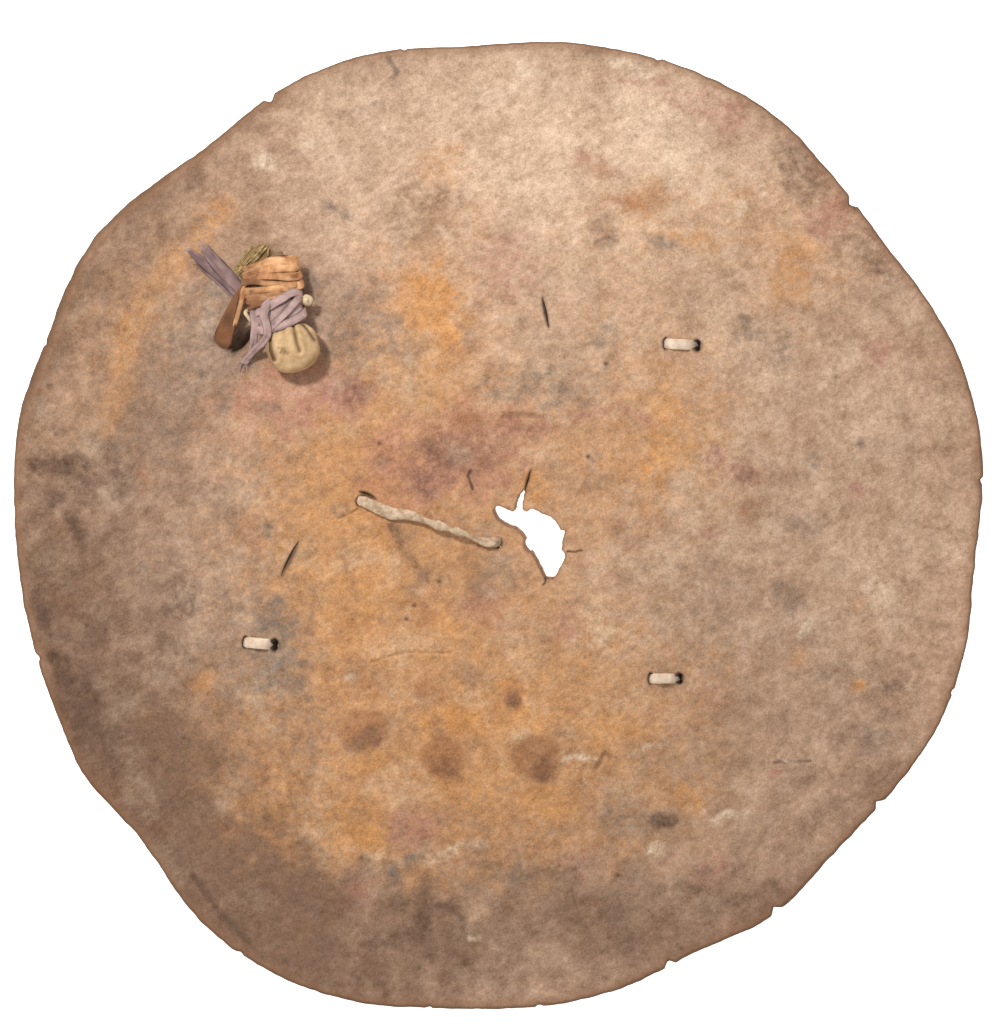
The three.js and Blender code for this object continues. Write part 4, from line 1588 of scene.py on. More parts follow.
def loose_band(ribbon: Ribbon, stations: Stations, steps: int, tilt: float = 0.0) -> Shell:
    """Lays a band along a path of its own.

    Args:
        ribbon: The band.
        stations: Rows of along, left, off the hide, and width.
        steps: Rows from each station to the next.
        tilt: How far it is turned about its path in degrees.

    Returns:
        The band.
    """
    rows = smooth_curve(np.array(stations), steps)
    path = rows[:, :3]
    tangent = unit(np.gradient(path, axis=0))
    heading = unit((path[-1] - path[0]) * np.array([1, 1, 0]))
    level = tangent * np.array([1, 1, 0]) + 0.4 * heading
    side = unit(np.cross(np.array([0, 0, 1.0]), level))
    up = unit(np.cross(tangent, side))
    turn = math.radians(tilt)
    turned = side * math.cos(turn) + up * math.sin(turn)
    return ribbon.shell(path, turned, unit(np.cross(tangent, turned)), rows[:, 3])


@dataclass(frozen=True)
class Pouch:
    """The gathered skin pouch: a full ball that narrows to a neck."""

    length: float = 68.0
    ball_width: float = 28.6
    ball_height: float = 24.6
    neck_width: float = 12.0
    neck_height: float = 10.0
    ball_level: float = 12.8
    neck_level: float = 10.0
    rings: int = 90
    around: int = 120
    gathers: tuple[tuple[float, float], ...] = (
        (0.35, 0.16), (0.9, 0.13), (1.35, 0.1), (1.75, 0.14), (2.2, 0.1), (2.5, 0.15), (3.1, 0.12),
        (3.7, 0.12), (4.2, 0.15), (4.8, 0.12), (5.4, 0.15), (5.9, 0.1),
    )  # fmt: skip
    grooves: tuple[tuple[tuple[float, float], ...], ...] = (
        ((12, 9.0), (7.2, 9.9), (0.8, 11.0), (-3.9, 10.4)),
        ((13, -2.6), (9.9, -3.2), (1.9, -2.9), (-3.1, -3.2)),
        ((10, -8.2), (7.4, -9.4), (0.6, -12.0)),
    )
    groove_depths: tuple[float, ...] = (4.0, 2.6, 1.0)
    groove_widths: tuple[float, ...] = (0.95, 0.6, 0.8)
    flecks: tuple[tuple[float, float], ...] = (
        (-0.8, 4.6), (-0.2, 5.5), (-1.5, 3.8), (0.3, 3.9), (-1.2, 6.2), (1.4, 6.8), (-2.1, 5.0),
        (0.9, 5.2), (-2.6, 3.1),
    )  # fmt: skip
    fleck_size: float = 0.5

    def shell(self) -> Shell:
        """Builds the pouch.

        Returns:
            The closed pouch in the bundle's frame.
        """
        turn = np.linspace(0.06, 2.48, self.rings - 30)
        ball_x = -self.ball_width / 2 * 0.9 * np.cos(turn)
        size = np.sin(turn) ** 0.85
        neck_share = np.array([0.4, 0.62, 0.8, 0.87, 0.92])
        start = -self.ball_width / 2 * 0.9
        stations = [(ball_x[-1], size[-1] * self.ball_width, size[-1] * self.ball_height, self.ball_level, 0)]
        shares = ((1, 1), (1, 1), (1.05, 0.95), (0.8, 0.6), (0.45, 0.3))
        lefts = (0, 0, 0, -0.2, -0.35)
        for share, (wide, high), left in zip(neck_share, shares, lefts):
            stations.append(
                (start + share * self.length, wide * self.neck_width, high * self.neck_height,
                 self.neck_level, left * self.neck_width)
            )  # fmt: skip
        neck = smooth_curve(np.array(stations), 6)[1:]
        x = np.concatenate([ball_x, neck[:, 0]])
        width = np.concatenate([size * self.ball_width, neck[:, 1]])
        height = np.concatenate([size * self.ball_height, neck[:, 2]])
        level = np.concatenate([np.full(len(turn), self.ball_level), neck[:, 3]])
        left = np.concatenate([np.zeros(len(turn)), neck[:, 4]])
        angle = np.arange(self.around) * FULL_TURN / self.around
        gather = np.zeros((len(x), self.around))
        near_neck = (smooth_between(x, -6, 13) * (1 - 0.85 * smooth_between(x, 34, 44)))[:, None]
        for place, reach in self.gathers:
            away = np.abs((angle - place + np.pi) % FULL_TURN - np.pi)
            gather += np.exp(-((away / reach) ** 2))[None, :]
        grow = 1 - 0.06 * near_neck * gather
        lump = SoftNoise(81, 1).at(x[:, None] / 7 + 9, 2.2 * np.cos(angle)[None, :] + 9)
        grow = grow * (1 + 0.03 * lump * smooth_between(size.max() - np.abs(x / 14)[:, None], 0, 1))
        y = left[:, None] + width[:, None] / 2 * grow * np.cos(angle)
        z = level[:, None] + height[:, None] / 2 * grow * np.sin(angle)
        x_grid = x[:, None] * np.ones((1, self.around))
        # Painted shade: the fold mark is lower between the gathers near the neck and in the grooves below,
        # which the finish paints darker.
        fold = -0.4 * gather * near_neck
        for points, depth, size in zip(self.grooves, self.groove_depths, self.groove_widths):
            away = distance_to_line(x_grid, y, points)
            top = smooth_between(np.sin(angle), 0.05, 0.5)[None, :]
            cut = np.exp(-((away / size) ** 2)) * top
            z = z - depth * cut + 0.35 * depth * np.exp(-(((away - 2.4) / 1.3) ** 2)) * top
            fold = fold - 1.6 * cut
        for along, left in self.flecks:
            away = np.hypot(x_grid - along, y - left)
            fold = fold - 1.8 * np.exp(-((away / self.fleck_size) ** 2)) * (np.sin(angle) > 0)[None, :]
        y = np.where((y > 10.8) & (x_grid < 11), 10.8 + 0.86 * (y - 10.8), y)
        rings = np.stack([x_grid, y, z], axis=-1)
        # Painted shade on the small left lobe; the mouth flap takes the same darker colour to match the
        # straw.
        left_side = smooth_between(y, 9.5, 12.5) * smooth_between(np.sin(angle), -0.4, 0.6)[None, :]
        mouth = smooth_between(x_grid, 42, 46)
        marks = {"along": x_grid, "across": y, "fold": fold}
        marks["shade"] = np.maximum(0.75 * left_side, 0.9 * mouth)
        return Shell.tube(rings, marks)


@dataclass(frozen=True)
class ClothTie:
    """The torn mauve cloth: wound round the neck, with two hanging ends and a forked tail."""

    core: Core = Core(2.2, 11.0, 12.4, 9.0)
    thickness: float = 0.9
    wound: tuple[tuple[tuple[float, float, float, float], ...], ...] = (
        ((18.2, -150, -2.6, 13), (18.4, -60, -2.2, 14), (18, 30, -1.6, 14.4), (18.5, 90, -1, 14.4),
         (18, 150, -0.7, 14.4), (18.6, 240, -0.6, 14), (18, 330, -0.5, 14), (18.3, 420, -0.3, 13.8),
         (18.4, 480, -0.2, 13.8), (18.6, 560, -0.4, 12), (18, 640, -1.8, 9)),
        ((16, -40, -0.6, 4), (21.5, 15, 0.6, 4.4), (22.8, 60, 1.4, 4.6), (25.4, 100, 1.9, 4.4),
         (27.2, 128, 1.8, 4.4), (25.8, 165, 1.2, 4.6), (19, 215, 0.4, 4.4), (16, 260, -0.8, 4)),
        ((24, -50, -0.8, 4), (14, 10, 0.5, 4.6), (12.4, 55, 1.5, 4.4), (16, 88, 2.0, 4.0),
         (21.4, 125, 1.9, 4.0), (23.6, 150, 1.3, 4.2), (23, 200, 0.2, 4.2), (21, 260, -0.8, 4)),
        ((14, -30, -0.5, 5), (12.6, 25, 0.8, 4.8), (12.0, 62, 1.3, 4.6), (12.4, 100, 1.2, 4.4),
         (14.6, 140, 1.2, 4.6), (16.5, 180, 0.8, 5), (18, 240, -0.6, 4.6)),
        ((13, -20, -0.3, 3), (13.6, 40, 1.0, 3.2), (16.5, 80, 1.6, 2.8), (21.2, 118, 1.8, 2.6),
         (22.2, 150, 0.8, 2.6), (20, 210, -0.5, 2.6)),
    )  # fmt: skip
    strands: tuple[tuple[tuple[float, float, float, float], ...], ...] = (
        ((25, 12.4, 14, 5), (21.5, 14.8, 15.6, 5), (15.7, 15.9, 14, 4.4), (11.1, 17.6, 11.4, 4.2),
         (6.4, 19.4, 8.4, 4),
         (2, 22.2, 5, 3.6), (-1.7, 25.6, 2, 2.6)),
        ((26.4, 5.4, 21, 4), (23.4, 8.2, 22.8, 4.8), (19.5, 10.2, 22.8, 4.6), (14.3, 10, 22.6, 4.4),
         (9.5, 10.8, 19.6, 4.4), (6.2, 14.2, 14.4, 4.2), (4.4, 18, 9.8, 4), (0.9, 23.6, 4.8, 3.2),
         (-0.9, 27.6, 2.6, 2)),
    )  # fmt: skip
    tail: tuple[tuple[tuple[float, float, float, float], ...], ...] = (
        ((18, 12, 6, 4), (27, 15, 4, 5), (36, 19, 3.4, 5.2), (42, 22, 4.4, 6.4), (48.5, 25.6, 6.4, 7.2),
         (53, 28, 7.8, 6.8), (57.5, 30, 8.6, 5.8), (61, 31.4, 9.2, 5)),
        ((30, 19.6, 1.6, 3), (37, 23.2, 2.6, 3.6), (43.7, 27, 4, 4.4), (50.6, 31.4, 6.2, 5.2),
         (54.6, 34.4, 7.4, 4.8),
         (58.4, 37, 8, 3.8), (62, 39.8, 8.2, 2.2)),
        ((30, 21.8, 1, 2.4), (37, 25.6, 1.6, 2.2), (43.7, 30, 2.6, 2), (49, 33.8, 3.8, 1.8),
         (53, 37, 4.8, 1)),
    )  # fmt: skip
    frays: tuple[tuple[float, float, float, float, float], ...] = (
        (60.4, 31.2, 9.2, 20, 3.4), (61.4, 39, 8.4, 42, 2.2), (54.2, 36.4, 4.4, 50, 1.8),
        (-0.6, 27, 1.8, 128, 1.8),
        (-1, 24.8, 1.6, 150, 1.6), (9.4, 13.2, 9.6, -40, 1.2),
    )  # fmt: skip

    def shell(self) -> Shell:
        """Builds the cloth.

        Returns:
            The bands in the bundle's frame.
        """
        shells = []
        for number, stations in enumerate(self.wound):
            ribbon = Ribbon(self.thickness, Weave(9, 1.5, 0.34 if number else 0.5, 91 + number))
            shells.append(self.core.wound(ribbon, stations, 14))
        for number, stations in enumerate(self.strands):
            ribbon = Ribbon(self.thickness + 0.5, Weave(7, 1.3, 0.42, 97 + number))
            shells.append(loose_band(ribbon, stations, 12, -12))
        for number, stations in enumerate(self.tail):
            ribbon = Ribbon(self.thickness - 0.2, Weave(6, 1.2, 0.42, 101 + number), 0.55)
            shells.append(loose_band(ribbon, stations, 12, 10))
        return Shell.joined(shells)


@dataclass(frozen=True)
class BuckskinWrap:
    """The orange-brown buckskin: wound round the pouch's upper end, with a broad hanging end."""

    core: Core = Core(2.0, 11.0, 13.6, 8.0)
    thickness: float = 1.9
    first: float = 25.9
    last: float = 45.9
    narrowing: float = 0.3
    wound: tuple[tuple[tuple[float, float, float, float], ...], ...] = (
        ((41, -60, -1.5, 7), (41.4, 20, 0.3, 5), (42.6, 60, 0.8, 5.6), (43.8, 92, 2.2, 8.4),
         (42.4, 122, 3.0, 9.6), (41.2, 152, 2.4, 8.6), (40.6, 190, 0.5, 6), (40, 250, -1.5, 6)),
        ((40, -50, -1.0, 6), (40.8, 20, 0.6, 4.6), (40.6, 55, 1.3, 4.4), (38.0, 92, 2.5, 3.4),
         (35.6, 122, 2.8, 4.6), (34.8, 150, 2.1, 4.4), (36.6, 180, 0.6, 4), (38, 240, -1.5, 5)),
        ((36, -60, -1.6, 7), (37.6, 15, 0.9, 4.2), (38.0, 48, 2.1, 3.4), (35.0, 82, 1.2, 4.2),
         (31.6, 116, 1.3, 5.2), (32.2, 150, 1.2, 5), (34, 240, -1.2, 5)),
        ((33, -60, -1.6, 7), (33.2, 15, 1.2, 6), (32.6, 55, 2.0, 4.4), (31.6, 90, 1.9, 4.0),
         (29.9, 130, 1.2, 4.6), (30.6, 170, 0.8, 5), (31, 240, -1.2, 5)),
        ((31, -50, -1.0, 6), (29.4, 10, 1.4, 5.4), (29.2, 50, 1.8, 4.6), (28.4, 84, 1.9, 3.8),
         (29.6, 118, 0.9, 3.4), (32.4, 150, 0.6, 3), (33, 240, -1.2, 4)),
        ((29, -30, -0.5, 5), (26.6, 20, 1.7, 5), (26.4, 55, 2.1, 4.2), (27.2, 80, 1.0, 3),
         (28, 110, -0.6, 2.4)),
        ((45.4, 20, -0.4, 3), (45.2, 60, 0.9, 3.2), (46.4, 95, 0.9, 3.4), (45, 130, 0.6, 3.4),
         (43, 170, -0.5, 3)),
    )  # fmt: skip
    strap: tuple[tuple[float, float, float, float], ...] = (
        (39.5, 9.5, 14, 3.2), (37.6, 14.2, 13.6, 4), (33.5, 19, 12.4, 5), (26.9, 24.4, 9.6, 7),
        (19, 30, 6, 9.4), (13, 33.8, 2.8, 10.6), (9.6, 34.9, -1.8, 6.6), (7.7, 36, -6.6, 5),
        (3.4, 38.6, -8.2, 4),
    )  # fmt: skip
    folded_edge: tuple[tuple[float, float, float, float], ...] = (
        (38.4, 12.6, 14.6, 2.4), (34.8, 17.2, 14, 3.2), (29, 20.2, 12.4, 3.4), (23.4, 23.4, 10, 3),
        (18.6, 26.4, 7.4, 2),
    )  # fmt: skip

    def shell(self) -> Shell:
        """Builds the buckskin.

        Returns:
            The bands in the bundle's frame.
        """
        shells = [self._body()]
        for number, stations in enumerate(self.wound):
            ribbon = Ribbon(self.thickness, Weave(4.6, 2.0, 0.75, 111 + number), 0.16 * (number % 3))
            shells.append(self.core.wound(ribbon, stations, 14))
        for shell in shells:
            shell.marks["shade"] = shell.marks["shade"] + 0.5 * smooth_between(shell.points[:, 1], 1, 13)
        shells.append(
            loose_band(Ribbon(self.thickness + 0.3, Weave(9, 2.2, 0.35, 121), 0.9), self.strap, 12, 16)
        )
        shells.append(
            loose_band(Ribbon(self.thickness, Weave(6, 1.6, 0.3, 122), 0.2), self.folded_edge, 12, -20)
        )
        return Shell.joined(shells)

    def _body(self) -> Shell:
        """Builds the wound buckskin below the top bands.

        Returns:
            A closed oval body with creases round it.
        """
        x = np.linspace(self.first, self.last, 60)
        share = (x - self.first) / (self.last - self.first)
        angle = np.arange(120) * FULL_TURN / 120
        size = (1 - self.narrowing * share**4)[:, None]
        warp = SoftNoise(132, 1).at(x[:, None] / 7, 3 * angle[None, :])
        run = x[:, None] + 2.4 * np.sin(angle)[None, :] + 0.9 * np.sin(2 * angle + 1)[None, :] + 1.6 * warp
        crease = np.abs(np.sin(np.pi * run / 3.1))
        fine = SoftNoise(131, 1).at(x[:, None] / 1.6, 6 * angle[None, :])
        grow = -1.0 + 0.9 * crease + 0.25 * fine
        y = self.core.left + (self.core.half_width * size + grow) * np.cos(angle)
        z = self.core.level + (self.core.half_height * size + grow) * np.sin(angle)
        x_grid = x[:, None] * np.ones((1, len(angle)))
        # Painted shade: the fold mark is lower in the body's creases, which the finish paints darker.
        marks = {"along": x_grid, "across": y, "fold": crease - 1, "shade": 0.3 + 0 * y}
        return Shell.tube(np.stack([x_grid, y, z], axis=-1), marks)


class Shading:
    """A small helper to build node trees."""

    def __init__(self, tree: bpy.types.NodeTree) -> None:
        """Keeps the tree to build in."""
        self.tree = tree

    def node(
        self, kind: str, inputs: dict[str | int, object] | None = None, **settings: object
    ) -> bpy.types.Node:
        """Adds a node.

        Args:
            kind: Its type name.
            inputs: A socket to link or a plain value for each input, by name or number.
            **settings: Its properties.

        Returns:
            The node.
        """
        made = self.tree.nodes.new(kind)
        for name, value in settings.items():
            setattr(made, name, value)
        for key, value in (inputs or {}).items():
            self.feed(made.inputs[key], value)
        return made

    def feed(self, target: bpy.types.NodeSocket, value: object) -> None:
        """Links a socket, or sets it when a plain value is given.

        Args:
            target: The input to fill.
            value: A socket, a number or a colour.
        """
        if isinstance(value, bpy.types.NodeSocket):
            self.tree.links.new(value, target)
        else:
            target.default_value = value

    def attribute(self, name: str) -> bpy.types.NodeSocket:
        """Reads a mark kept at the mesh's points."""
        return self.node("ShaderNodeAttribute", attribute_name=name).outputs["Fac"]

    def math(
        self, kind: str, first: object, second: object = 0.0, clamp: bool = False
    ) -> bpy.types.NodeSocket:
        """Adds a sum on two numbers, kept from 0 to 1 if it is clamped."""
        return self.node("ShaderNodeMath", {0: first, 1: second}, operation=kind, use_clamp=clamp).outputs[0]

    def times(self, first: object, second: object, clamp: bool = False) -> bpy.types.NodeSocket:
        """Multiplies two numbers."""
        return self.math("MULTIPLY", first, second, clamp)

    def swayed(self, base: object, noise: bpy.types.NodeSocket, strength: object) -> bpy.types.NodeSocket:
        """Lets a noise of 0 to 1 push a number up and down."""
        return self.math("ADD", base, self.times(self.math("SUBTRACT", noise, 0.5), strength))

    def mix(self, share: object, first: object, second: object, kind: str = "MIX") -> bpy.types.NodeSocket:
        """Mixes a share of the second colour into the first."""
        inputs = {"Factor": share, 6: first, 7: second}
        return self.node("ShaderNodeMix", inputs, data_type="RGBA", blend_type=kind).outputs[2]

    def noise(self, place: object, size: float, detail: float, roughness: float) -> bpy.types.Node:
        """Adds a noise texture."""
        inputs = {"Vector": place, "Scale": 1 / (size * MM), "Detail": detail, "Roughness": roughness}
        return self.node("ShaderNodeTexNoise", inputs)

    def scaled(self, vector: bpy.types.NodeSocket, size: object) -> bpy.types.NodeSocket:
        """Makes a vector longer or shorter."""
        return self.node("ShaderNodeVectorMath", {0: vector, "Scale": size}, operation="SCALE").outputs[0]

    def seeded_noise(self, scale: object, seed: bpy.types.NodeSocket) -> bpy.types.Node:
        """Adds a noise over the points' positions that changes with a seed."""
        inputs = {"Scale": scale, "W": seed, "Vector": self.node("GeometryNodeInputPosition").outputs[0]}
        return self.node("ShaderNodeTexNoise", inputs, noise_dimensions="4D")


class GrownPiece:
    """A mesh grown by a geometry node tree from a few points, then kept as a plain mesh."""

    def __init__(self, name: str, sockets: tuple[tuple[str, str, object], ...]) -> None:
        """Starts the tree with its named inputs.

        Args:
            name: Name of the tree.
            sockets: Each input's name, its kind and its first value.
        """
        self.tree = bpy.data.node_groups.new(name, "GeometryNodeTree")
        self.tree.interface.new_socket("Geometry", in_out="INPUT", socket_type="NodeSocketGeometry")
        self._identifiers = {}
        for label, kind, first in (*sockets, ("Material", "Material", None)):
            socket = self.tree.interface.new_socket(label, in_out="INPUT", socket_type="NodeSocket" + kind)
            if first is not None:
                socket.default_value = first
            self._identifiers[label] = socket.identifier
        self.tree.interface.new_socket("Geometry", in_out="OUTPUT", socket_type="NodeSocketGeometry")
        self.shading = Shading(self.tree)
        self.given = self.shading.node("NodeGroupInput").outputs

    def swept(self, curve: object, section: object, inputs: dict[str, object] | None = None) -> object:
        """Sweeps a section along a curve, with closed ends."""
        inputs = {"Curve": curve, "Profile Curve": section, "Fill Caps": True} | (inputs or {})
        return self.shading.node("GeometryNodeCurveToMesh", inputs).outputs["Mesh"]

    def close(self, geometry: bpy.types.NodeSocket) -> None:
        """Ends the tree with smooth shading and the material.

        Args:
            geometry: The grown geometry.
        """
        for kind in ("GeometryNodeSetShadeSmooth", "GeometryNodeRealizeInstances"):
            geometry = self.shading.node(kind, {"Geometry": geometry}).outputs[0]
        inputs = {"Geometry": geometry, "Material": self.given["Material"]}
        geometry = self.shading.node("GeometryNodeSetMaterial", inputs).outputs[0]
        self.shading.node("NodeGroupOutput", {"Geometry": geometry})

    def named(self, name: str, kind: str = "FLOAT") -> bpy.types.NodeSocket:
        """Reads a value kept at the points."""
        made = self.shading.node("GeometryNodeInputNamedAttribute", {"Name": name}, data_type=kind)
        return made.outputs["Attribute"]

    def moved(self, geometry: bpy.types.NodeSocket, offset: bpy.types.NodeSocket) -> bpy.types.NodeSocket:
        """Moves each point by an offset."""
        inputs = {"Geometry": geometry, "Offset": offset}
        return self.shading.node("GeometryNodeSetPosition", inputs).outputs["Geometry"]

    def grow(self, name: str, start: bpy.types.Mesh, values: dict[str, object]) -> bpy.types.Object:
        """Runs the tree and keeps what it grows.

        Args:
            name: Name of the piece.
            start: The points it grows from.
            values: A value for each named input.

        Returns:
            The piece as a plain mesh.
        """
        seed = bpy.data.objects.new(name + "_start", start)
        bpy.context.scene.collection.objects.link(seed)
        modifier = seed.modifiers.new("grow", "NODES")
        modifier.node_group = self.tree
        for label, value in values.items():
            modifier[self._identifiers[label]] = value
        seed.update_tag()
        bpy.context.view_layer.update()
        graph = bpy.context.evaluated_depsgraph_get()
        mesh = bpy.data.meshes.new_from_object(seed.evaluated_get(graph), depsgraph=graph)
        mesh.name = name
        bpy.data.objects.remove(seed)
        made = bpy.data.objects.new(name, mesh)
        bpy.context.scene.collection.objects.link(made)
        return made


def path_mesh(name: str, path: np.ndarray, side: np.ndarray, girth: np.ndarray) -> bpy.types.Mesh:
    """Makes a line of joined points that a thong follows.

    Args:
        name: Name of the mesh.
        path: Places in millimetres.
        side: Unit directions across the thong.
        girth: How large it is at each place, as a share.

    Returns:
        The mesh, in metres.
    """
    mesh = bpy.data.meshes.new(name)
    mesh.from_pydata((path * MM).tolist(), [(n, n + 1) for n in range(len(path) - 1)], [])
    mesh.attributes.new("girth", "FLOAT", "POINT").data.foreach_set("value", girth.astype(np.float32))
    sides = mesh.attributes.new("side", "FLOAT_VECTOR", "POINT")
    sides.data.foreach_set("vector", side.astype(np.float32).ravel())
    return mesh


class ThongMaker:
    """Grows thongs of hide along their paths."""

    ROUND_POINTS = 28

    def __init__(self) -> None:
        """Builds the node tree."""
        sockets = (
            ("Width", "Float", 0.005),
            ("Thickness", "Float", 0.002),
            ("Roughness", "Float", 0.0004),
            ("Grain", "Float", 400.0),
            ("Seed", "Float", 1.0),
        )
        self._piece = GrownPiece("thong", sockets)
        shading, given = self._piece.shading, self._piece.given
        curve = shading.node("GeometryNodeMeshToCurve", {"Mesh": given["Geometry"]}).outputs[0]
        inputs = {"Curve": curve, "Normal": self._piece.named("side", "FLOAT_VECTOR")}
        curve = shading.node("GeometryNodeSetCurveNormal", inputs, mode="FREE").outputs["Curve"]
        inputs = {"Resolution": self.ROUND_POINTS, "Radius": 0.5}
        circle = shading.node("GeometryNodeCurvePrimitiveCircle", inputs).outputs["Curve"]
        size = shading.node("ShaderNodeCombineXYZ", {"X": given["Width"], "Y": given["Thickness"], "Z": 1})
        flat = shading.node("GeometryNodeTransform", {"Geometry": circle, "Scale": size.outputs[0]})
        thong = self._piece.swept(curve, flat.outputs[0], {"Scale": self._piece.named("girth")})
        noise = shading.seeded_noise(given["Grain"], given["Seed"])
        push = shading.times(shading.math("SUBTRACT", noise.outputs["Fac"], 0.5), given["Roughness"])
        outwards = shading.node("GeometryNodeInputNormal").outputs[0]
        self._piece.close(self._piece.moved(thong, shading.scaled(outwards, push)))

    def grow(
        self,
        name: str,
        start: bpy.types.Mesh,
        size: tuple[float, float],
        rough: float,
        finish: bpy.types.Material,
    ) -> bpy.types.Object:
        """Grows one thong."""
        values = {"Width": size[0] * MM, "Thickness": size[1] * MM, "Roughness": rough * MM}
        return self._piece.grow(name, start, values | {"Seed": float(len(name)), "Material": finish})


class FibreMaker:
    """Grows a tuft of fibres that fan out from one end."""

    STEPS = 9
    SIDES = 5
    SHORTEST, LONGEST = 0.45, 1.05
    BEND_GRAIN = 160

    def __init__(self) -> None:
        """Builds the node tree."""
        sockets = (
            ("Count", "Int", 60),
            ("Length", "Float", 0.02),
            ("Radius", "Float", 0.0003),
            ("Spread", "Vector", (0.001, 0.004, 0.003)),
            ("Fan", "Vector", (0.0, 0.3, 0.5)),
            ("Bend", "Float", 0.004),
            ("Seed", "Int", 1),
        )
        self._piece = GrownPiece("fibres", sockets)
        shading, given = self._piece.shading, self._piece.given
        inputs = {"Count": given["Count"], "Position": self._either_way(given["Spread"], 0.0)}
        points = shading.node("GeometryNodePoints", inputs).outputs[0]
        inputs = {"Direction": (1, 0, 0), "Length": given["Length"]}
        line = shading.node("GeometryNodeCurvePrimitiveLine", inputs, mode="DIRECTION").outputs["Curve"]
        inputs = {2: self.SHORTEST, 3: self.LONGEST, "Seed": given["Seed"]}
        size = shading.node("FunctionNodeRandomValue", inputs, data_type="FLOAT").outputs[1]
        turn = self._either_way(given["Fan"], 1.0)
        inputs = {"Points": points, "Instance": line, "Rotation": turn, "Scale": size}
        copies = shading.node("GeometryNodeInstanceOnPoints", inputs).outputs[0]
        real = shading.node("GeometryNodeRealizeInstances", {"Geometry": copies}).outputs[0]
        inputs = {"Curve": real, "Count": self.STEPS}
        fine = shading.node("GeometryNodeResampleCurve", inputs).outputs["Curve"]
        inputs = {"Resolution": self.SIDES, "Radius": given["Radius"]}
        section = shading.node("GeometryNodeCurvePrimitiveCircle", inputs).outputs["Curve"]
        self._piece.close(self._piece.swept(self._bent(fine), section))

    def _either_way(self, most: bpy.types.NodeSocket, shift: float) -> bpy.types.NodeSocket:
        """Draws a random vector between minus and plus a size.

        Args:
            most: The greatest size on each axis.
            shift: Added to the seed.

        Returns:
            The vector.
        """
        shading = self._piece.shading
        seed = shading.math("ADD", self._piece.given["Seed"], shift)
        inputs = {0: shading.scaled(most, -1), 1: most, "Seed": seed}
        return shading.node("FunctionNodeRandomValue", inputs, data_type="FLOAT_VECTOR").outputs[0]

    def _bent(self, curve: bpy.types.NodeSocket) -> bpy.types.NodeSocket:
        """Bends each fibre more towards its tip.

        Args:
            curve: The straight fibres.

        Returns:
            The bent fibres.
        """
        shading, given = self._piece.shading, self._piece.given
        noise = shading.seeded_noise(self.BEND_GRAIN, given["Seed"]).outputs["Color"]
        centred = shading.node("ShaderNodeVectorMath", {0: noise, 1: (0.5, 0.5, 0.5)}, operation="SUBTRACT")
        reach = shading.times(shading.node("GeometryNodeSplineParameter").outputs["Factor"], given["Bend"])
        return self._piece.moved(curve, shading.scaled(centred.outputs[0], reach))

    def grow(self, name: str, values: dict[str, object]) -> bpy.types.Object:
        """Grows one tuft along X from the origin, with a value for each named input."""
        return self._piece.grow(name, bpy.data.meshes.new(name + "_seed"), values)


class SharedGroups:
    """Shader node groups that several finishes use."""

    def __init__(self) -> None:
        """Builds the groups."""
        self.ragged = self._build_ragged()
        self.grain = self._build_grain()

    @staticmethod
    def _build_ragged() -> bpy.types.NodeTree:
        """Builds the group that frays a soft mask's edge.

        Returns:
            The group.
        """
        tree = bpy.data.node_groups.new("ragged_edge", "ShaderNodeTree")
        for name, default in (("Mask", 0.0), ("Noise", 0.5), ("Fray", 1.0)):
            socket = tree.interface.new_socket(name, in_out="INPUT", socket_type="NodeSocketFloat")
            socket.default_value = default
        tree.interface.new_socket("Mask", in_out="OUTPUT", socket_type="NodeSocketFloat")
        shading = Shading(tree)
        mask, noise, fray = shading.node("NodeGroupInput").outputs[:3]
        spread = shading.times(mask, shading.math("SUBTRACT", 1.0, mask))
        push = shading.times(shading.times(shading.math("SUBTRACT", noise, 0.5), fray), 8.0)
        frayed = shading.math("ADD", mask, shading.times(spread, push), clamp=True)
        shading.node("NodeGroupOutput", {"Mask": frayed})
        return tree

    @staticmethod
    def _build_grain() -> bpy.types.NodeTree:
        """Builds the group that gives skin its fine and coarse grain.

        Returns:
            The group.
        """
        tree = bpy.data.node_groups.new("skin_grain", "ShaderNodeTree")
        tree.interface.new_socket("Place", in_out="INPUT", socket_type="NodeSocketVector")
        for name in ("Height", "Speckle"):
            tree.interface.new_socket(name, in_out="OUTPUT", socket_type="NodeSocketFloat")
        shading = Shading(tree)
        place = shading.node("NodeGroupInput").outputs["Place"]
        coarse = shading.noise(place, 3.2, 4.0, 0.6).outputs["Fac"]
        fine = shading.noise(place, 0.9, 3.0, 0.6).outputs["Fac"]
        height = shading.math("ADD", shading.times(coarse, 0.7), shading.times(fine, 0.3))
        shading.node("NodeGroupOutput", {"Height": height, "Speckle": fine})
        return tree


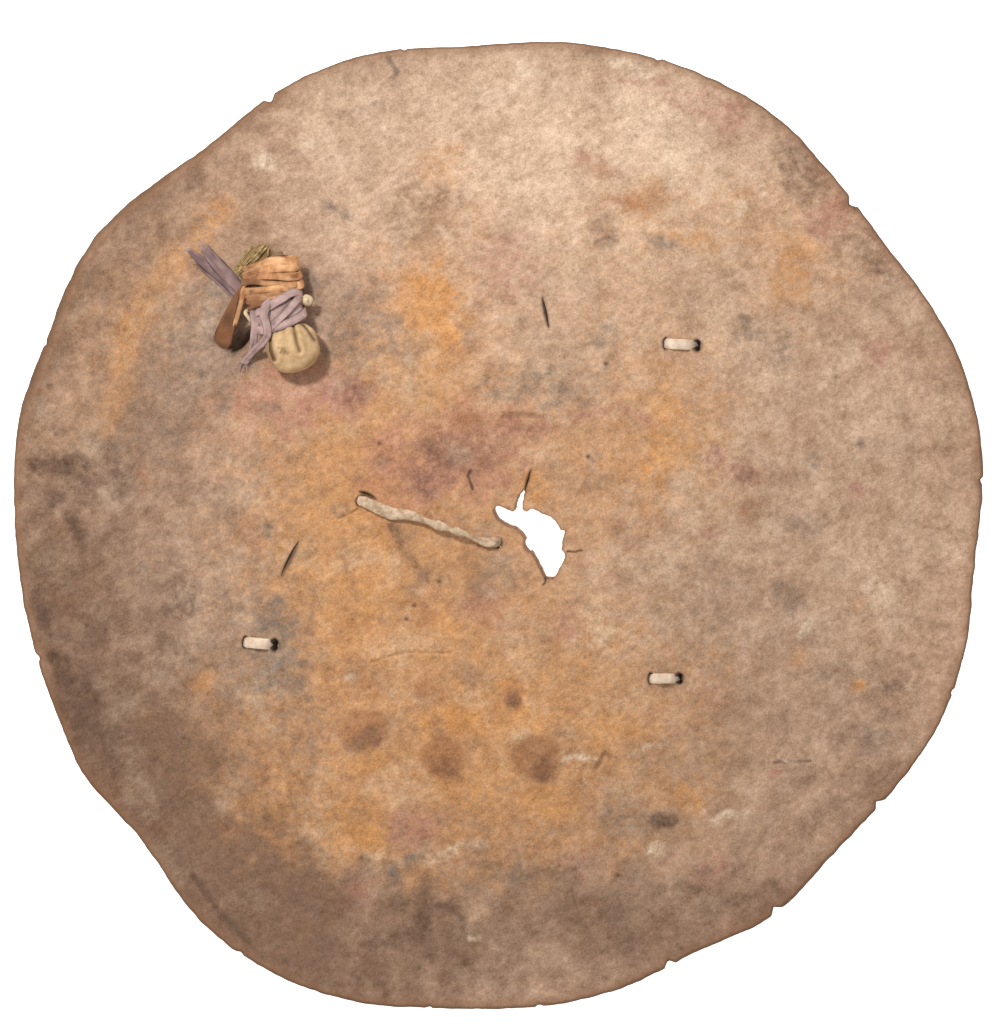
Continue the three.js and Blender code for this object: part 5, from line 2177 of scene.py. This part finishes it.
class Skin:
    """A material being made: its node tree, its place on the object and its grain."""

    def __init__(self, name: str, groups: SharedGroups) -> None:
        """Starts the material.

        Args:
            name: Its name.
            groups: The shared shader groups.
        """
        self.material = bpy.data.materials.new(name)
        self.material.use_nodes = True
        self.shading = Shading(self.material.node_tree)
        self.place = self.shading.node("ShaderNodeTexCoord").outputs["Object"]
        grain = self.shading.node("ShaderNodeGroup", node_tree=groups.grain)
        self.shading.feed(grain.inputs["Place"], self.place)
        self.height, self.speckle = grain.outputs["Height"], grain.outputs["Speckle"]

    def ramp(self, share: object, stops: tuple[tuple[float, Colour], ...]) -> bpy.types.NodeSocket:
        """Turns a number into a colour.

        Args:
            share: The number.
            stops: Places from 0 to 1 with their colours, the lowest and the highest first.

        Returns:
            The colour.
        """
        made = self.shading.node("ShaderNodeValToRGB", {"Fac": share})
        elements = made.color_ramp.elements
        for number, (position, tint) in enumerate(stops):
            element = elements[number] if number < 2 else elements.new(position)
            element.position = position
            element.color = screen_colour(*tint)
        return made.outputs["Color"]

    def finished(self, colour: object, roughness: float, shine: float, bump: float) -> bpy.types.Material:
        """Ends the material.

        Args:
            colour: Its colour.
            roughness: How matt it is.
            shine: How strongly it reflects.
            bump: Depth of its grain in millimetres.

        Returns:
            The material.
        """
        inputs = {"Distance": bump * MM, "Strength": 0.6, "Height": self.height}
        normal = self.shading.node("ShaderNodeBump", inputs).outputs["Normal"]
        inputs = {"Base Color": colour, "Roughness": roughness, "Specular IOR Level": shine, "Normal": normal}
        surface = self.material.node_tree.nodes["Principled BSDF"]
        for name, value in inputs.items():
            self.shading.feed(surface.inputs[name], value)
        return self.material


@dataclass(frozen=True)
class HideColours:
    """Colours of the rawhide, as seen on screen."""

    light: Colour = (222, 188, 158)
    middle: Colour = (185, 149, 122)
    brown: Colour = (130, 99, 78)
    warm: Colour = (206, 148, 94)
    ochre: Colour = (210, 148, 88)
    rust: Colour = (160, 106, 70)
    rose: Colour = (176, 122, 104)
    umber: Colour = (96, 70, 54)
    grey: Colour = (128, 110, 96)
    pale: Colour = (228, 202, 172)
    burnt: Colour = (156, 104, 68)
    # Painted shade colour for the creases, pits, openings' edges and holes' walls.
    crack: Colour = (40, 26, 18)
    # Painted shade: edge darkens a band along the rim, and the next colour the rim's turned-down edge, the
    # back and the openings' walls.
    edge: Colour = (144, 102, 72)
    raw: Colour = (104, 74, 50)


@dataclass(frozen=True)
class HideFinish:
    """The stained, worn rawhide."""

    groups: SharedGroups
    colours: HideColours = HideColours()
    mottle_tint: tuple[float, float, float] = (0.9, 1.05, 1.25)
    grain_turn: float = 35.0
    grain_stretch: tuple[float, float, float] = (2.4, 0.7, 1.0)
    patch_size: float = 24.0
    patch_start: float = 0.52
    patch_edge: float = 7.0

    def build(self) -> bpy.types.Material:
        """Makes the material.

        Returns:
            The hide's material.
        """
        skin = Skin("rawhide", self.groups)
        shading, place, colours = skin.shading, skin.place, self.colours
        broad = shading.noise(place, 60, 4.0, 0.55).outputs["Fac"]
        cloudy = shading.noise(place, 14, 5.0, 0.62).outputs["Fac"]
        ragged = shading.noise(place, 5, 6.0, 0.65)
        noises = self._parts(shading, ragged)
        # Partly painted light and shade: the light and dark marks lift and lower the base tone, the top brim
        # lighter, the lower and outer brim darker.
        tone = shading.math("ADD", 0.42, shading.times(shading.attribute("light"), 0.62))
        tone = shading.math("SUBTRACT", tone, shading.times(shading.attribute("dark"), 0.62))
        for noise in (broad, cloudy):
            tone = shading.swayed(tone, noise, 0.6)
        colour = skin.ramp(tone, ((0.0, colours.brown), (1.0, colours.light), (0.5, colours.middle)))
        before = (
            ("warm", 2, 0.7), ("pale", 0, 1.2), ("ochre", 1, 1.1), ("rose", 2, 1.0), ("rust", 0, 1.1),
            ("grey", 1, 1.1),
        )  # fmt: skip
        colour = self._stained(shading, colour, noises, before)
        clouds = shading.noise(place, self.patch_size, 6.0, 0.66)
        colour = self._patched(shading, colour, self._parts(shading, clouds))
        colour = self._stained(shading, colour, noises, (("burnt", 1, 0.22), ("umber", 2, 1.1)))
        turn = (0.0, 0.0, math.radians(self.grain_turn))
        inputs = {"Rotation": turn, "Scale": self.grain_stretch, "Vector": place}
        turned = shading.node("ShaderNodeMapping", inputs, vector_type="TEXTURE")
        streaks = shading.noise(turned.outputs["Vector"], 3.0, 5.0, 0.6).outputs["Fac"]
        share = 1.0
        layers = (
            (cloudy, 0.6), (ragged.outputs["Fac"], 0.7), (streaks, 0.55), (skin.height, 1.1),
            (skin.speckle, 0.8),
        )  # fmt: skip
        for noise, strength in layers:
            share = shading.swayed(share, noise, strength)
        powers = {number: shading.math("POWER", share, tint) for number, tint in enumerate(self.mottle_tint)}
        grey = shading.node("ShaderNodeCombineColor", powers).outputs[0]
        colour = shading.mix(1.0, colour, grey, "MULTIPLY")
        # Painted shade along the rim, on its turned-down edge, on the back and down the openings' walls.
        lip = self._frayed(shading, "lip", noises[1], 1.0)
        colour = shading.mix(shading.times(lip, 0.5), colour, screen_colour(*colours.edge))
        raw = shading.times(shading.attribute("raw"), 0.85)
        colour = shading.mix(raw, colour, screen_colour(*colours.raw))
        # Painted shade: near black in the creases and pits, along the openings' edges and down the holes'
        # walls.
        crack = self._frayed(shading, "crack", noises[0], 0.5)
        return skin.finished(shading.mix(crack, colour, screen_colour(*colours.crack)), 0.78, 0.3, 0.35)

    @staticmethod
    def _parts(shading: Shading, noise: bpy.types.Node) -> list[bpy.types.NodeSocket]:
        """Parts a noise's colour into three noises."""
        return list(shading.node("ShaderNodeSeparateColor", {"Color": noise.outputs["Color"]}).outputs)

    def _frayed(self, shading: Shading, mark: str, noise: object, fray: float) -> bpy.types.NodeSocket:
        """Reads a stain's mark with its edge frayed by a noise."""
        inputs = {"Mask": shading.attribute(mark), "Noise": noise, "Fray": fray}
        return shading.node("ShaderNodeGroup", inputs, node_tree=self.groups.ragged).outputs["Mask"]

    def _stained(
        self,
        shading: Shading,
        colour: bpy.types.NodeSocket,
        noises: list[bpy.types.NodeSocket],
        stains: tuple[tuple[str, int, float], ...],
    ) -> bpy.types.NodeSocket:
        """Lays stains over the colour.

        Args:
            shading: The tree's helper.
            colour: The colour so far.
            noises: Three noises that fray the stains.
            stains: Each stain's mark, the number of its noise, and how strongly it frays.

        Returns:
            The stained colour.
        """
        for mark, number, fray in stains:
            mask = self._frayed(shading, mark, noises[number], fray)
            colour = shading.mix(mask, colour, screen_colour(*getattr(self.colours, mark)))
        return colour

    def _patched(
        self, shading: Shading, colour: bpy.types.NodeSocket, clouds: list[bpy.types.NodeSocket]
    ) -> bpy.types.NodeSocket:
        """Lays small rusty, greyish and pale patches, mostly where the hide is warm.

        Args:
            shading: The tree's helper.
            colour: The colour so far.
            clouds: Three noises that place the patches.

        Returns:
            The patched colour.
        """
        warm = shading.attribute("warm")
        tints = (
            (self.colours.burnt, 0.1, 0.4),
            (self.colours.grey, 0.14, 0.34),
            (self.colours.pale, 0.14, 0.16),
        )
        for cloud, (tint, least, more) in zip(clouds, tints):
            mask = shading.math("SUBTRACT", cloud, self.patch_start)
            mask = shading.times(mask, self.patch_edge, clamp=True)
            strength = shading.math("ADD", least, shading.times(warm, more))
            colour = shading.mix(shading.times(mask, strength), colour, screen_colour(*tint))
        return colour


@dataclass(frozen=True)
class PlainSkin:
    """A plain skin, cloth or fibre finish."""

    name: str
    light: Colour
    dark: Colour
    patch: float = 6.0
    roughness: float = 0.8
    bump: float = 0.25
    contrast: float = 1.0
    # The shade colour: painted shade on shaded sides and, a third as bright, in folds.
    shade_colour: Colour | None = None
    fold_dark: float = 0.5

    def build(self, groups: SharedGroups) -> bpy.types.Material:
        """Makes the material.

        Args:
            groups: The shared shader groups.

        Returns:
            The material.
        """
        skin = Skin(self.name, groups)
        shading = skin.shading
        cloudy = shading.noise(skin.place, self.patch, 5.0, 0.62).outputs["Fac"]
        spread = 0.22 / self.contrast
        colour = skin.ramp(cloudy, ((0.5 - spread, self.dark), (0.5 + spread, self.light)))
        if self.shade_colour:
            # Painted shade: the shade mark mixes in the shade colour, and the fold mark darkens folds,
            # grooves, wrinkle hollows and band edges; the pouch's fold mark also holds its real dark flecks.
            colour = shading.mix(shading.attribute("shade"), colour, screen_colour(*self.shade_colour))
            dark = shading.times(shading.attribute("fold"), -self.fold_dark, clamp=True)
            colour = shading.mix(dark, colour, screen_colour(*(value // 3 for value in self.shade_colour)))
        return skin.finished(colour, self.roughness, 0.25, self.bump)


@dataclass(frozen=True)
class Studio:
    """Camera, floor and soft lights."""

    centre: tuple[float, float] = (0.00077, 0.00386)
    camera_height: float = 6.0
    view_height: float = 0.5335
    rim_height: float = 0.01
    sensor: float = 36.0
    floor_size: float = 4.0
    floor_look: tuple[tuple[str, object], ...] = (
        ("Base Color", (0.92, 0.92, 0.92, 1)), ("Roughness", 0.9),
        ("Emission Color", (1, 1, 1, 1)), ("Emission Strength", 1.0),
    )  # fmt: skip
    sky: float = 0.52
    lights: tuple[tuple[str, tuple[float, float, float], float, float], ...] = (
        ("key", (-0.95, 1.05, 2.0), 36.0, 0.28),
        ("fill", (0.8, -0.6, 2.4), 3.0, 2.5),
    )

    def build(self) -> None:
        """Sets the camera, the floor and the lights."""
        scene = bpy.context.scene
        scene.view_settings.view_transform = "Standard"
        camera = bpy.data.cameras.new("camera")
        camera.sensor_width = self.sensor
        camera.lens = self.sensor * (self.camera_height - self.rim_height) / self.view_height
        camera.clip_end = 50
        scene.camera = self._placed("camera", camera, (*self.centre, self.camera_height))
        half = self.floor_size / 2 / MM
        corners = np.array([(-half, -half, 0), (half, -half, 0), (half, half, 0), (-half, half, 0)])
        material = bpy.data.materials.new("floor")
        material.use_nodes = True
        for name, value in self.floor_look:
            material.node_tree.nodes["Principled BSDF"].inputs[name].default_value = value
        add_mesh("floor", corners, [(0, 1, 2, 3)], material)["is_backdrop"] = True
        for name, place, power, size in self.lights:
            light = bpy.data.lights.new(name, "AREA")
            light.energy = power
            light.size = size
            turned = Vector(place).to_track_quat("Z", "Y").to_euler()
            self._placed(name, light, place).rotation_euler = turned
        scene.world = bpy.data.worlds.new("studio")
        scene.world.use_nodes = True
        sky = scene.world.node_tree.nodes["Background"]
        sky.inputs["Color"].default_value = (1, 1, 1, 1)
        sky.inputs["Strength"].default_value = self.sky

    @staticmethod
    def _placed(name: str, data: bpy.types.ID, place: tuple[float, float, float]) -> bpy.types.Object:
        """Puts a camera or a light at its place in metres.

        Args:
            name: Its name.
            data: The camera or the light.
            place: Where it stands.

        Returns:
            The object that holds it.
        """
        holder = bpy.data.objects.new(name, data)
        holder.location = place
        bpy.context.scene.collection.objects.link(holder)
        return holder


@dataclass(frozen=True)
class Lacing:
    """The pale thong through the bundle's neck: a cut end on the left, a knot on the right."""

    size: tuple[float, float] = (2.3, 2.1)
    stations: Stations = (
        (18.2, 17.2, 11.4, 0.7), (20.6, 18.2, 12, 0.85), (23.6, 18.9, 11.4, 0.95), (24.4, 15, 9.4, 0.9),
        (22, 6, 8.6, 0.9), (21.4, -6, 9.4, 0.95), (21.4, -11.4, 12.2, 1.2), (23.1, -13, 13.6, 1.4),
        (21.8, -14.6, 12.8, 1.45), (20.1, -13.4, 12.6, 1.4), (21.4, -12.2, 14.8, 1.3),
        (22.4, -13.4, 15.2, 1.0),
    )  # fmt: skip


@dataclass(frozen=True)
class Tuft:
    """Fibres that fan out along X: how many, their sizes in millimetres, their turn and their seed."""

    count: int
    length: float
    radius: float
    bend: float
    seed: int
    spread: tuple[float, float, float]
    fan: tuple[float, float, float]

    def shell(self, name: str, maker: FibreMaker, finish: bpy.types.Material) -> Shell:
        """Grows the tuft.

        Args:
            name: Its name.
            maker: What grows it.
            finish: Its material.

        Returns:
            The tuft in millimetres.
        """
        values = {"Count": self.count, "Fan": self.fan}
        values |= {"Length": self.length * MM, "Radius": self.radius * MM}
        values |= {"Spread": tuple(size * MM for size in self.spread), "Bend": self.bend * MM}
        grown = maker.grow(name, values | {"Seed": self.seed, "Material": finish})
        flat = np.zeros(3 * len(grown.data.vertices))
        grown.data.vertices.foreach_get("co", flat)
        faces = [tuple(face.vertices) for face in grown.data.polygons]
        bpy.data.objects.remove(grown)
        points = flat.reshape(-1, 3) / MM
        return Shell(points, faces, {mark: np.zeros(len(points)) for mark in Shell.MARKS})


@dataclass(frozen=True)
class StrawWad:
    """The straw stuffed in the bundle's mouth."""

    size: tuple[float, float, float] = (20.0, 4.9, 5.4)
    place: tuple[float, float, float] = (48.6, 8.4, 8.4)
    turn: float = -59.0
    tuft: Tuft = Tuft(260, 17.0, 0.17, 7.0, 5, (3.0, 4.2, 4.4), (0.0, 0.16, 0.3))
    stalks: tuple[Stations, ...] = (
        ((44.4, 18.6, 11.6, 0.7), (47.0, 13.6, 13.6, 0.9), (50.4, 7.4, 14.2, 0.8), (55.6, 0.4, 13, 0.5)),
        ((46.4, 10.8, 13.8, 0.6), (49.6, 5.6, 14.2, 0.7), (54.8, -1.6, 13.2, 0.5)),
        ((45.6, 4.2, 13.8, 0.6), (49.6, 0.8, 14, 0.6), (55.2, -1.0, 12.4, 0.4)),
    )  # fmt: skip

    def shell(self, maker: FibreMaker, finish: bpy.types.Material) -> Shell:
        """Builds the wad: its packed middle, its tuft and its stalks.

        Args:
            maker: What grows the tuft.
            finish: Its material.

        Returns:
            The wad in the bundle's frame.
        """
        tuft = self.tuft.shell("straw_tuft", maker, finish)
        tuft.points[:, 0] -= self.tuft.length / 2
        tuft.points = self._placed(tuft.points)
        stalks = [loose_band(Ribbon(0.6, Weave(6, 1, 0.1, 140)), stations, 10) for stations in self.stalks]
        return Shell.joined([self._core(), tuft, *stalks])

    def _core(self) -> Shell:
        """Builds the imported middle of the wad.

        Returns:
            A closed ribbed lump in the bundle's frame.
        """
        share = np.linspace(0.02, 0.98, 40)
        angle = np.arange(72) * FULL_TURN / 72
        reach = (0.35 + 0.65 * np.sin(np.pi * (0.12 + 0.76 * share)))[:, None]
        rib = 1 + 0.12 * np.sin(7 * angle + 5 * share[:, None]) * np.sin(np.pi * share)[:, None]
        x = self.size[0] * (share[:, None] - 0.5) * np.ones((1, len(angle)))
        y = self.size[1] * reach * rib * np.cos(angle)
        z = self.size[2] * reach * rib * np.sin(angle)
        # Painted shade: the fold mark is lower between the ribs, which the finish paints darker.
        marks = {"along": x, "across": y, "fold": rib - 1, "shade": 0.6 + 0 * y}
        shell = Shell.tube(np.stack([x, y, z], axis=-1), marks)
        shell.points = self._placed(shell.points)
        return shell

    def _placed(self, points: np.ndarray) -> np.ndarray:
        """Turns the wad's own places into the bundle's."""
        plan = Spot(self.place[0], self.place[1], self.turn).to_plan(points[:, 0], points[:, 1])
        return np.column_stack([plan, points[:, 2] + self.place[2]])


@dataclass(frozen=True)
class Finishes:
    """The plain finishes of the small pieces."""

    stitch: PlainSkin = PlainSkin("pale_thong", (246, 226, 202), (208, 176, 146), 4, 0.7, 0.3)
    rolled: PlainSkin = PlainSkin("rolled_thong_skin", (228, 202, 172), (168, 134, 102), 3.4, 0.7, 0.4, 1.3)
    pouch: PlainSkin = PlainSkin(
        "pouch_skin", (224, 188, 142), (184, 146, 104), 7, 0.72, 0.3, 1.3, (132, 100, 74), 0.42
    )
    cloth: PlainSkin = PlainSkin(
        "mauve_cloth", (212, 180, 172), (160, 130, 124), 5, 0.9, 0.3, 1.0, (124, 96, 94), 0.75
    )
    threads: PlainSkin = PlainSkin("cloth_threads", (216, 188, 174), (168, 138, 130), 3, 0.9, 0.1)
    leather: PlainSkin = PlainSkin(
        "buckskin", (250, 192, 138), (184, 124, 80), 6, 0.75, 0.35, 1.4, (116, 72, 46), 0.9
    )
    lacing: PlainSkin = PlainSkin("lacing_skin", (240, 218, 180), (204, 174, 134), 4, 0.6, 0.2)
    straw: PlainSkin = PlainSkin("straw", (214, 182, 128), (132, 104, 64), 3, 0.8, 0.2, 1.4, (130, 104, 66))


class ShieldScene:
    """Puts the whole scene together."""

    THONG_ROUGH = 1.15
    THONG_TURNS = 1.5
    SMALL_ROUGH = 0.5
    CLOTH_FLAT = (0.0148, 0.285)
    POUCH_FILL = 0.9

    def __init__(self) -> None:
        """Loads the frame and sets up what every piece needs."""
        self._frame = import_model()
        self._packed_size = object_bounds()
        self._form = DiscForm()
        self._bundle = BundleFrame(Spot(-105.6, 91.3, 104.3), self._form)
        self._groups = SharedGroups()
        self._thongs = ThongMaker()
        self._fibres = FibreMaker()
        self._finishes = Finishes()
        self._stitches = (
            StitchSize("stitch_upper_right", Spot(93, 93, -3), 15.5, 5.4),
            StitchSize("stitch_lower_right", Spot(84.5, -78.5, 0), 14, 5.2),
            StitchSize("stitch_lower_left", Spot(-123.5, -60.5, -5), 14.5, 5.6),
        )
        self._thong = ThongSize()

    def build(self) -> None:
        """Builds every piece and the studio."""
        Studio().build()
        self._add_disc()
        self._add_thongs()
        self._add_bundle()
        self._add_lacing()
        finish = self._finishes.straw.build(self._groups)
        self._add_shell("straw_fibres", StrawWad().shell(self._fibres, finish), finish, "straw_wad", "straw")

    def write_size(self) -> None:
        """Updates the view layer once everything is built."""
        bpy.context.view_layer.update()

    @staticmethod
    def _settle(made: bpy.types.Object, node: str, slot: str) -> bpy.types.Object:
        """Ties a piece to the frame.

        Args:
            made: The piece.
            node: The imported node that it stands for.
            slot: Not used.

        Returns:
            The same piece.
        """
        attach(made, BODY)
        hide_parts(node)
        return made

    def _add_disc(self) -> None:
        """Adds the rawhide disc."""
        openings = HideCuts().openings(self._stitches, self._thong, self._bundle.spot)
        painter = HidePainter(TintTable(), StrokeTable())
        disc = HideDisc(self._form, RimEdge(), openings, CreaseTable(), painter)
        self._settle(disc.build(HideFinish(self._groups).build()), "hide_disc", "rawhide")

    def _thong_start(
        self, name: str, size: StitchSize | ThongSize, steps: int, turns: float = 0.0
    ) -> bpy.types.Mesh:
        """Lays the path of a thong that is set into the hide.

        Args:
            name: Name of the path.
            size: The stitch or the thong.
            steps: Rows from each of its stations to the next.
            turns: How many times it is twisted on its way over the face.

        Returns:
            The path as a mesh.
        """
        local, spot = smooth_curve(size.stations(), steps), size.spot
        plan = spot.to_plan(local[:, 0], local[:, 1])
        path = np.column_stack([plan, self._form.height(plan[:, 0], plan[:, 1]) + local[:, 2]])
        across = spot.to_plan(np.zeros(1), np.ones(1))[0] - np.array([spot.x, spot.y])
        twist = FULL_TURN * turns * smooth_between(local[:, 0] / local[:, 0].max(), 0.3, 0.95)
        side = np.column_stack([across[0] * np.cos(twist), across[1] * np.cos(twist), np.sin(twist)])
        return path_mesh(name, path, side, local[:, 3] / size.width)

    def _add_thongs(self) -> None:
        """Adds the stitches and the thong across the middle."""
        finish = self._finishes.stitch.build(self._groups)
        rolled = self._finishes.rolled.build(self._groups)
        for stitch in self._stitches:
            start = self._thong_start(stitch.name + "_path", stitch, 10)
            size = (stitch.width, stitch.thickness)
            made = self._thongs.grow("thong_" + stitch.name, start, size, self.SMALL_ROUGH, finish)
            self._settle(made, stitch.name, "pale_thong")
        start = self._thong_start("centre_thong_path", self._thong, 16, self.THONG_TURNS)
        size = (self._thong.width, self._thong.thickness)
        made = self._thongs.grow("rolled_thong", start, size, self.THONG_ROUGH, rolled)
        self._settle(made, "centre_thong", "pale_thong")

    def _add_shell(
        self, name: str, shell: Shell, finish: bpy.types.Material, node: str, slot: str
    ) -> bpy.types.Object:
        """Adds a shell given in the bundle's frame."""
        made = add_mesh(name, self._bundle.to_world(shell.points), shell.faces, finish, shell.marks)
        return self._settle(made, node, slot)

    def _add_bundle(self) -> None:
        """Adds the pouch, its cloth and its buckskin."""
        skins, groups = self._finishes, self._groups
        skin = skins.pouch.build(groups)
        pouch = self._add_shell("skin_pouch", Pouch().shell(), skin, "pouch", "pouch_skin")
        tie, cloth = ClothTie(), skins.cloth.build(groups)
        made = self._add_shell("mauve_tie", tie.shell(), cloth, "cloth_tie", "mauve_cloth")
        threads = skins.threads.build(groups)
        torn = self._torn_ends(tie, threads)
        frayed = self._add_shell("cloth_threads", torn, threads, "cloth_tie", "mauve_cloth")
        strip = BuckskinWrap().shell()
        self._add_shell("buckskin_strip", strip, skins.leather.build(groups), "buckskin_wrap", "buckskin")

    def _torn_ends(self, tie: ClothTie, finish: bpy.types.Material) -> Shell:
        """Grows the loose threads at the cloth's torn ends.

        Args:
            tie: The cloth.
            finish: The threads' material.

        Returns:
            The threads in the bundle's frame.
        """
        shells = []
        for number, (along, left, up, turn, width) in enumerate(tie.frays):
            spread, fan = (1.2, 0.5 * width, 0.5), (0.0, 0.25, 0.4)
            tuft = Tuft(int(8 * width) + 6, 5.0, 0.09, 3.0, 20 + number, spread, fan)
            shell = tuft.shell("threads", self._fibres, finish)
            plan = Spot(along, left, turn).to_plan(shell.points[:, 0], shell.points[:, 1])
            shell.points = np.column_stack([plan, shell.points[:, 2] + up])
            shells.append(shell)
        return Shell.joined(shells)

    def _add_lacing(self) -> None:
        """Adds the lacing in the bundle's neck."""
        lacing = Lacing()
        rows = smooth_curve(np.array(lacing.stations), 10)
        path = self._bundle.to_world(rows[:, :3])
        across = unit(np.cross(unit(np.gradient(path, axis=0)), np.array([0.2, 0.3, 1.0])))
        start = path_mesh("lacing_path", path, across, rows[:, 3])
        finish = self._finishes.lacing.build(self._groups)
        made = self._thongs.grow("pale_lacing", start, lacing.size, self.SMALL_ROUGH, finish)
        self._settle(made, "neck_lacing", "pale_thong")


def main() -> None:
    """Builds the scene from its classes in order."""
    logging.basicConfig(level=logging.INFO, format="%(name)s: %(message)s")
    scene = ShieldScene()
    scene.build()
    scene.write_size()


if __name__ == "__main__":
    main()
